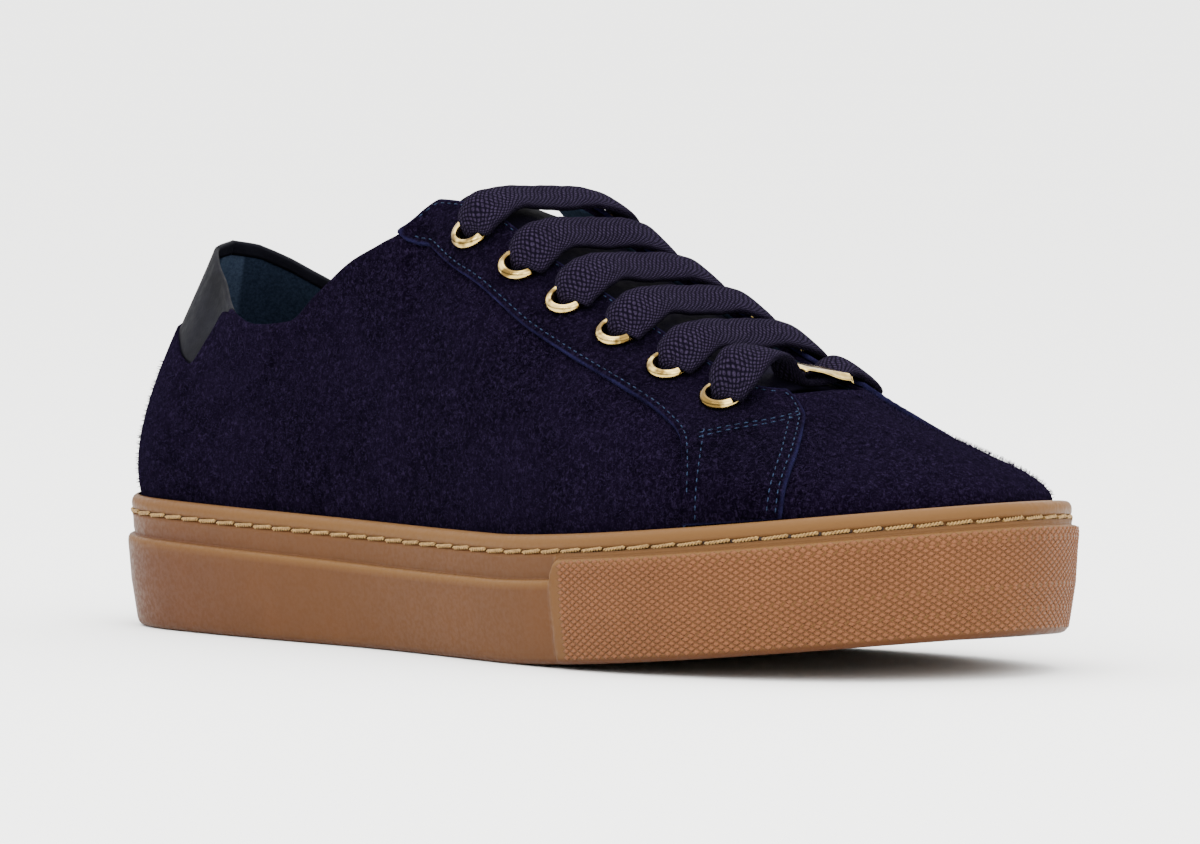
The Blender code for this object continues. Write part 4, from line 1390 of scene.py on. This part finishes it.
def along_bar(index, t):
    """A bar's middle line under the lace, with its width and upward directions. It twists about its rear edge."""
    left, right, width, up = bar_frame(index)
    t = np.asarray(t, float)[:, None]
    inner = 4 * t * (1 - t)
    twist = math.radians(BARS["twist"][index]) * inner**2
    flat, out = width * np.cos(twist) - up * np.sin(twist), up * np.cos(twist) + width * np.sin(twist)
    rise = BAR_ARCH * (1 - abs(2 * t - 1) ** BAR_POWER) - BARS["dip"][index] * inner**3
    return left + (right - left) * t + rise * UP + (flat - width) * BAR_WIDTH / 2, flat, out


def lace_path(index):
    """The lace's middle line from inside one barrel to inside the other, and its width direction."""
    turn, s = eyelet_places()
    width = bar_frame(index)[2]
    ends = []
    for place in (turn[index], s[index]), (turn[index + EYELETS], s[index + EYELETS]):
        towards = unit(upper_slopes(*place)[1])
        ends.append([on_upper(*place, height) + towards * lean for height, lean in IN_BARREL])
    bar, flat, out = along_bar(index, np.linspace(*OVER_BAR, 11))
    knots = np.array([*ends[0], *(bar + out * LACE_MIDDLE), *ends[1][::-1]])
    walked = walked_along(knots)
    ways = np.array([width] * 3 + [*flat] + [width] * 3)
    fine = np.linspace(0, walked[-1], 400)
    path, way = (np.stack([spline(walked, rows[:, k])(fine) for k in range(3)], -1) for rows in (knots, ways))
    at = evenly(path, LACE_STEP)
    return resampled(path, at), resampled(way, at)


def swell(share, start, full, ebb, end):
    """0, a rise to 1 and a fall back to 0 along the share."""
    return ease(share, start, full) * (1 - ease(share, ebb, end))


def lace(index):
    """A puffy ribbon along the path, with how far each point is along and around it."""
    bar = {name: BARS[name][index] for name in BARS}
    path, way = lace_path(index)
    along = unit(np.gradient(path, axis=0))
    sideways = unit(way - along * (along * way).sum(-1, keepdims=True))
    outwards = np.cross(sideways, along)
    walked = walked_along(path)
    near = np.minimum(walked, walked[-1] - walked)
    free = ease(near, *GATHERED_FOR)
    wobble = sum(size * np.sin(walked * rate + start * index) for size, rate, start in LACE_WOBBLE)
    half = GATHERED_HALF + (LACE_HALF - GATHERED_HALF + wobble) * free
    puff = GATHERED_PUFF + (LACE_PUFF - GATHERED_PUFF) * free
    spin = np.linspace(0, math.tau, LACE_SIDES, endpoint=False)
    waves = np.cos(spin), np.sin(spin)
    round_x, round_y = (np.sign(wave) * abs(wave) ** power for wave, power in zip(waves, LACE_SQUARED))
    inner = walked > walked[-1] / 2
    loose = ease(near, *SLUMP_FROM) * (1 - ease(near, bar["free"], bar["taut"])) * np.where(inner, 0.5, 1.0)
    down = np.stack([0.5 + 0 * near, np.where(inner, 0.5, -0.5), -1 + 0 * near], -1)
    share = walked / walked[-1]
    rise = bar["lift"] * swell(share, *LIFTED) - bar["sag"] * swell(share, *SAGGED)
    points = (
        path[:, None]
        + sideways[:, None] * (half[:, None] * round_x)[..., None]
        + outwards[:, None] * (puff[:, None] * round_y)[..., None]
        + down[:, None] * ((bar["slump"] * loose)[:, None] * ((1 + round_x) / 2) ** SLUMP_POWER)[..., None]
        + (rise[:, None] * UP)[:, None]
    )
    turned = np.broadcast_to(spin / math.tau, points.shape[:2])
    return points, np.broadcast_to(walked[:, None], points.shape[:2]), turned


def braided_cotton():
    """Braid: crossing diagonal strands in relief, dark, with painted highlights on the strands' crowns and painted
    shade along the ribbon's edges.
    """
    made = Shader("cotton_braid", 0.9, 0.0)
    u = made.times(made.attribute("along"), math.pi / STRAND)
    v = made.times(made.attribute("around"), math.pi * STRANDS_ROUND)
    drift = made.times(made.noise(0.45), 2.4)
    u = made.math("ADD", u, drift)
    rising, falling = (made.humps(made.math(way, u, v)) for way in ("ADD", "SUBTRACT"))
    strands = made.times(rising, falling)
    fuzz = made.noise(1.8, 3.0, 0.7)
    # Paler where the strands stand up in relief: a painted highlight on their crowns.
    crown_light_and_edge_shade = made.times(made.spread(strands, 0.15, 0.85), made.spread(fuzz, 0.25, 0.65))
    # Darker towards the ribbon's two edges: painted shade.
    face = made.humps(made.times(made.attribute("around"), math.tau))
    crown_light_and_edge_shade = made.times(crown_light_and_edge_shade, made.spread(face, 0.0, 0.55, 0.25, 1.0))
    made.colour(crown_light_and_edge_shade, (0.0026, 0.0019, 0.0044), (0.0215, 0.0155, 0.032))
    made.bump(strands, 0.25, 1.0)
    made.bump(fuzz, 0.15, 0.6)
    made.sheen(0.02, 0.4, (0.5, 0.5, 0.7))
    return made.material


BRAID = braided_cotton()
for index in range(EYELETS):
    points, along, around = lace(index)
    rings, sides = points.shape[:2]
    faces = [*grid_faces(rings, sides, True), tuple(range(sides)), tuple(range((rings - 1) * sides, rings * sides))]
    bar = piece(f"lace_bar_{index + 1}", points.reshape(-1, 3), faces, [BRAID])
    point_values(bar, "along", along.ravel())
    point_values(bar, "around", around.ravel())
    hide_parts(f"lace_bar_{index + 1}")
    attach(bar, "root")


# ---- Lace tag
# A plain gilt plate threaded on the lowest bar. It slides along the lace, and its two ends and its front edge are
# turned down over the braid. Its face is left blank.

TAG_LENGTH = 17.5
TAG_WIDTH = 9.0
TAG_AT = 0.60
TAG_THICK = 0.9
TAG_LOW = 0.9
TAG_AHEAD = 2.2
TAG_FLATTER = -3.0
TAG_FALL = 7.0
TAG_END = 0.5
TAG_END_FROM = 1.2
TAG_BEVEL = 0.2
TAG_LIP = 0.9
TAG_LIP_LEAST = 0.2
TAG_LIP_GROWS = (-4.0, 5.0)


def tag_grid(lift, spare):
    """A grid over the plate. Its ends are turned down, and so is its front edge, more so towards the inner side."""
    left, right = bar_frame(EYELETS - 1)[:2]
    middle, flat, out = (rows[0] for rows in along_bar(EYELETS - 1, [TAG_AT]))
    flatter, fall = math.radians(TAG_FLATTER), math.radians(TAG_FALL)
    front = flat * math.cos(flatter) + out * math.sin(flatter)
    along = unit(unit(right - left) - math.tan(fall) * UP)
    up = np.cross(front, along)
    half_length, half_width = TAG_LENGTH / 2 - spare, TAG_WIDTH / 2 - spare
    u = half_length * np.sin(np.linspace(-math.pi / 2, math.pi / 2, 61))[:, None]
    w = half_width * np.sin(np.linspace(-math.pi / 2, math.pi / 2, 41))[None, :]
    lip = TAG_LIP_LEAST + TAG_LIP * ease(u, *TAG_LIP_GROWS)
    drop = TAG_END * ease(abs(u), half_length - TAG_END_FROM, half_length)
    drop = drop + lip * ease(w, half_width - TAG_LIP, half_width)
    place = middle + up * lift + front * TAG_AHEAD
    return place + along * u[..., None] + front * w[..., None] - up * drop[..., None]


points, faces = slab_mesh(tag_grid(TAG_LOW + TAG_THICK, TAG_BEVEL), tag_grid(TAG_LOW, 0.0))
tag = piece("lace_tag", points, faces, [TAG_GOLD])
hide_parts("lace_tag")
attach(tag, "root")


# ---- Floor, light and camera
# A pale seamless floor, a broad soft box over the shoe, two smaller fills and a narrow strip light along the outer
# side. The camera stands a little above the sole's height and looks back along the outer side from the toe.


def floor():
    reach = 30.0
    mesh = bpy.data.meshes.new("floor")
    mesh.from_pydata([(-reach, -reach, 0), (reach, -reach, 0), (reach, reach, 0), (-reach, reach, 0)], [], [range(4)])
    mesh.materials.append(speckled("floor_paper", 0.9, 0.1, 0.004, (0.90, 0.90, 0.89), (0.92, 0.92, 0.91)))
    return in_scene("floor", mesh)


floor()
for name, place, aim, size, power in (
    ("soft_box_over", (0.2, -0.2, 1.6), (0, 0, 0.05), (1.6, 1.6), 23),
    ("soft_box_toe", (1.7, -0.5, 0.8), (0.05, 0, 0.05), (1.2, 1.0), 14),
    ("soft_box_heel", (-1.2, -1.2, 1.2), (-0.05, 0, 0.05), (1.0, 1.0), 2),
    ("strip_light", (0.5, -1.6, 1.1), (0, 0, 0.06), (0.9, 0.12), 6),
):
    lamp = bpy.data.lights.new(name, "AREA")
    lamp.shape = "RECTANGLE"
    lamp.size, lamp.size_y = size
    lamp.energy = power
    light = in_scene(name, lamp)
    light.location = place
    light.rotation_euler = (Vector(aim) - Vector(place)).to_track_quat("-Z", "Y").to_euler()

world = bpy.data.worlds.new("studio")
world.use_nodes = True
sky = world.node_tree
place = wired(sky, "ShaderNodeTexCoord", output="Generated")
given = {"Value": wired(sky, "ShaderNodeSeparateXYZ", {"Vector": place}, "Z")}
given.update({"From Min": 0.0, "From Max": 0.55, "To Min": 0.7, "To Max": 4.2})
background = sky.nodes["Background"].inputs
sky.links.new(wired(sky, "ShaderNodeMapRange", given, interpolation_type="SMOOTHSTEP"), background["Strength"])
background["Color"].default_value = (1.0, 1.0, 0.99, 1)
bpy.context.scene.world = world

CAMERA_YAW = 0.7875
CAMERA_PITCH = 0.0585
CAMERA_AHEAD = 2855.0
CAMERA_ASIDE = -186.7
CAMERA_HEIGHT = 204.8
TURN_TO_SHOE = 0.02706
TILT_TO_SHOE = 0.0046
LENS = 331.0

eye = np.array(
    [
        -CAMERA_ASIDE * math.cos(CAMERA_YAW) + CAMERA_AHEAD * math.sin(CAMERA_YAW),
        -CAMERA_ASIDE * math.sin(CAMERA_YAW) - CAMERA_AHEAD * math.cos(CAMERA_YAW),
        CAMERA_HEIGHT,
    ]
)
camera = in_scene("camera", bpy.data.cameras.new("camera"))
camera.location = (eye + ORIGIN) * MM
camera.rotation_euler = (math.pi / 2 - CAMERA_PITCH + TILT_TO_SHOE, 0, CAMERA_YAW + TURN_TO_SHOE)
camera.data.lens = LENS
camera.data.clip_end = 100
bpy.context.scene.camera = camera
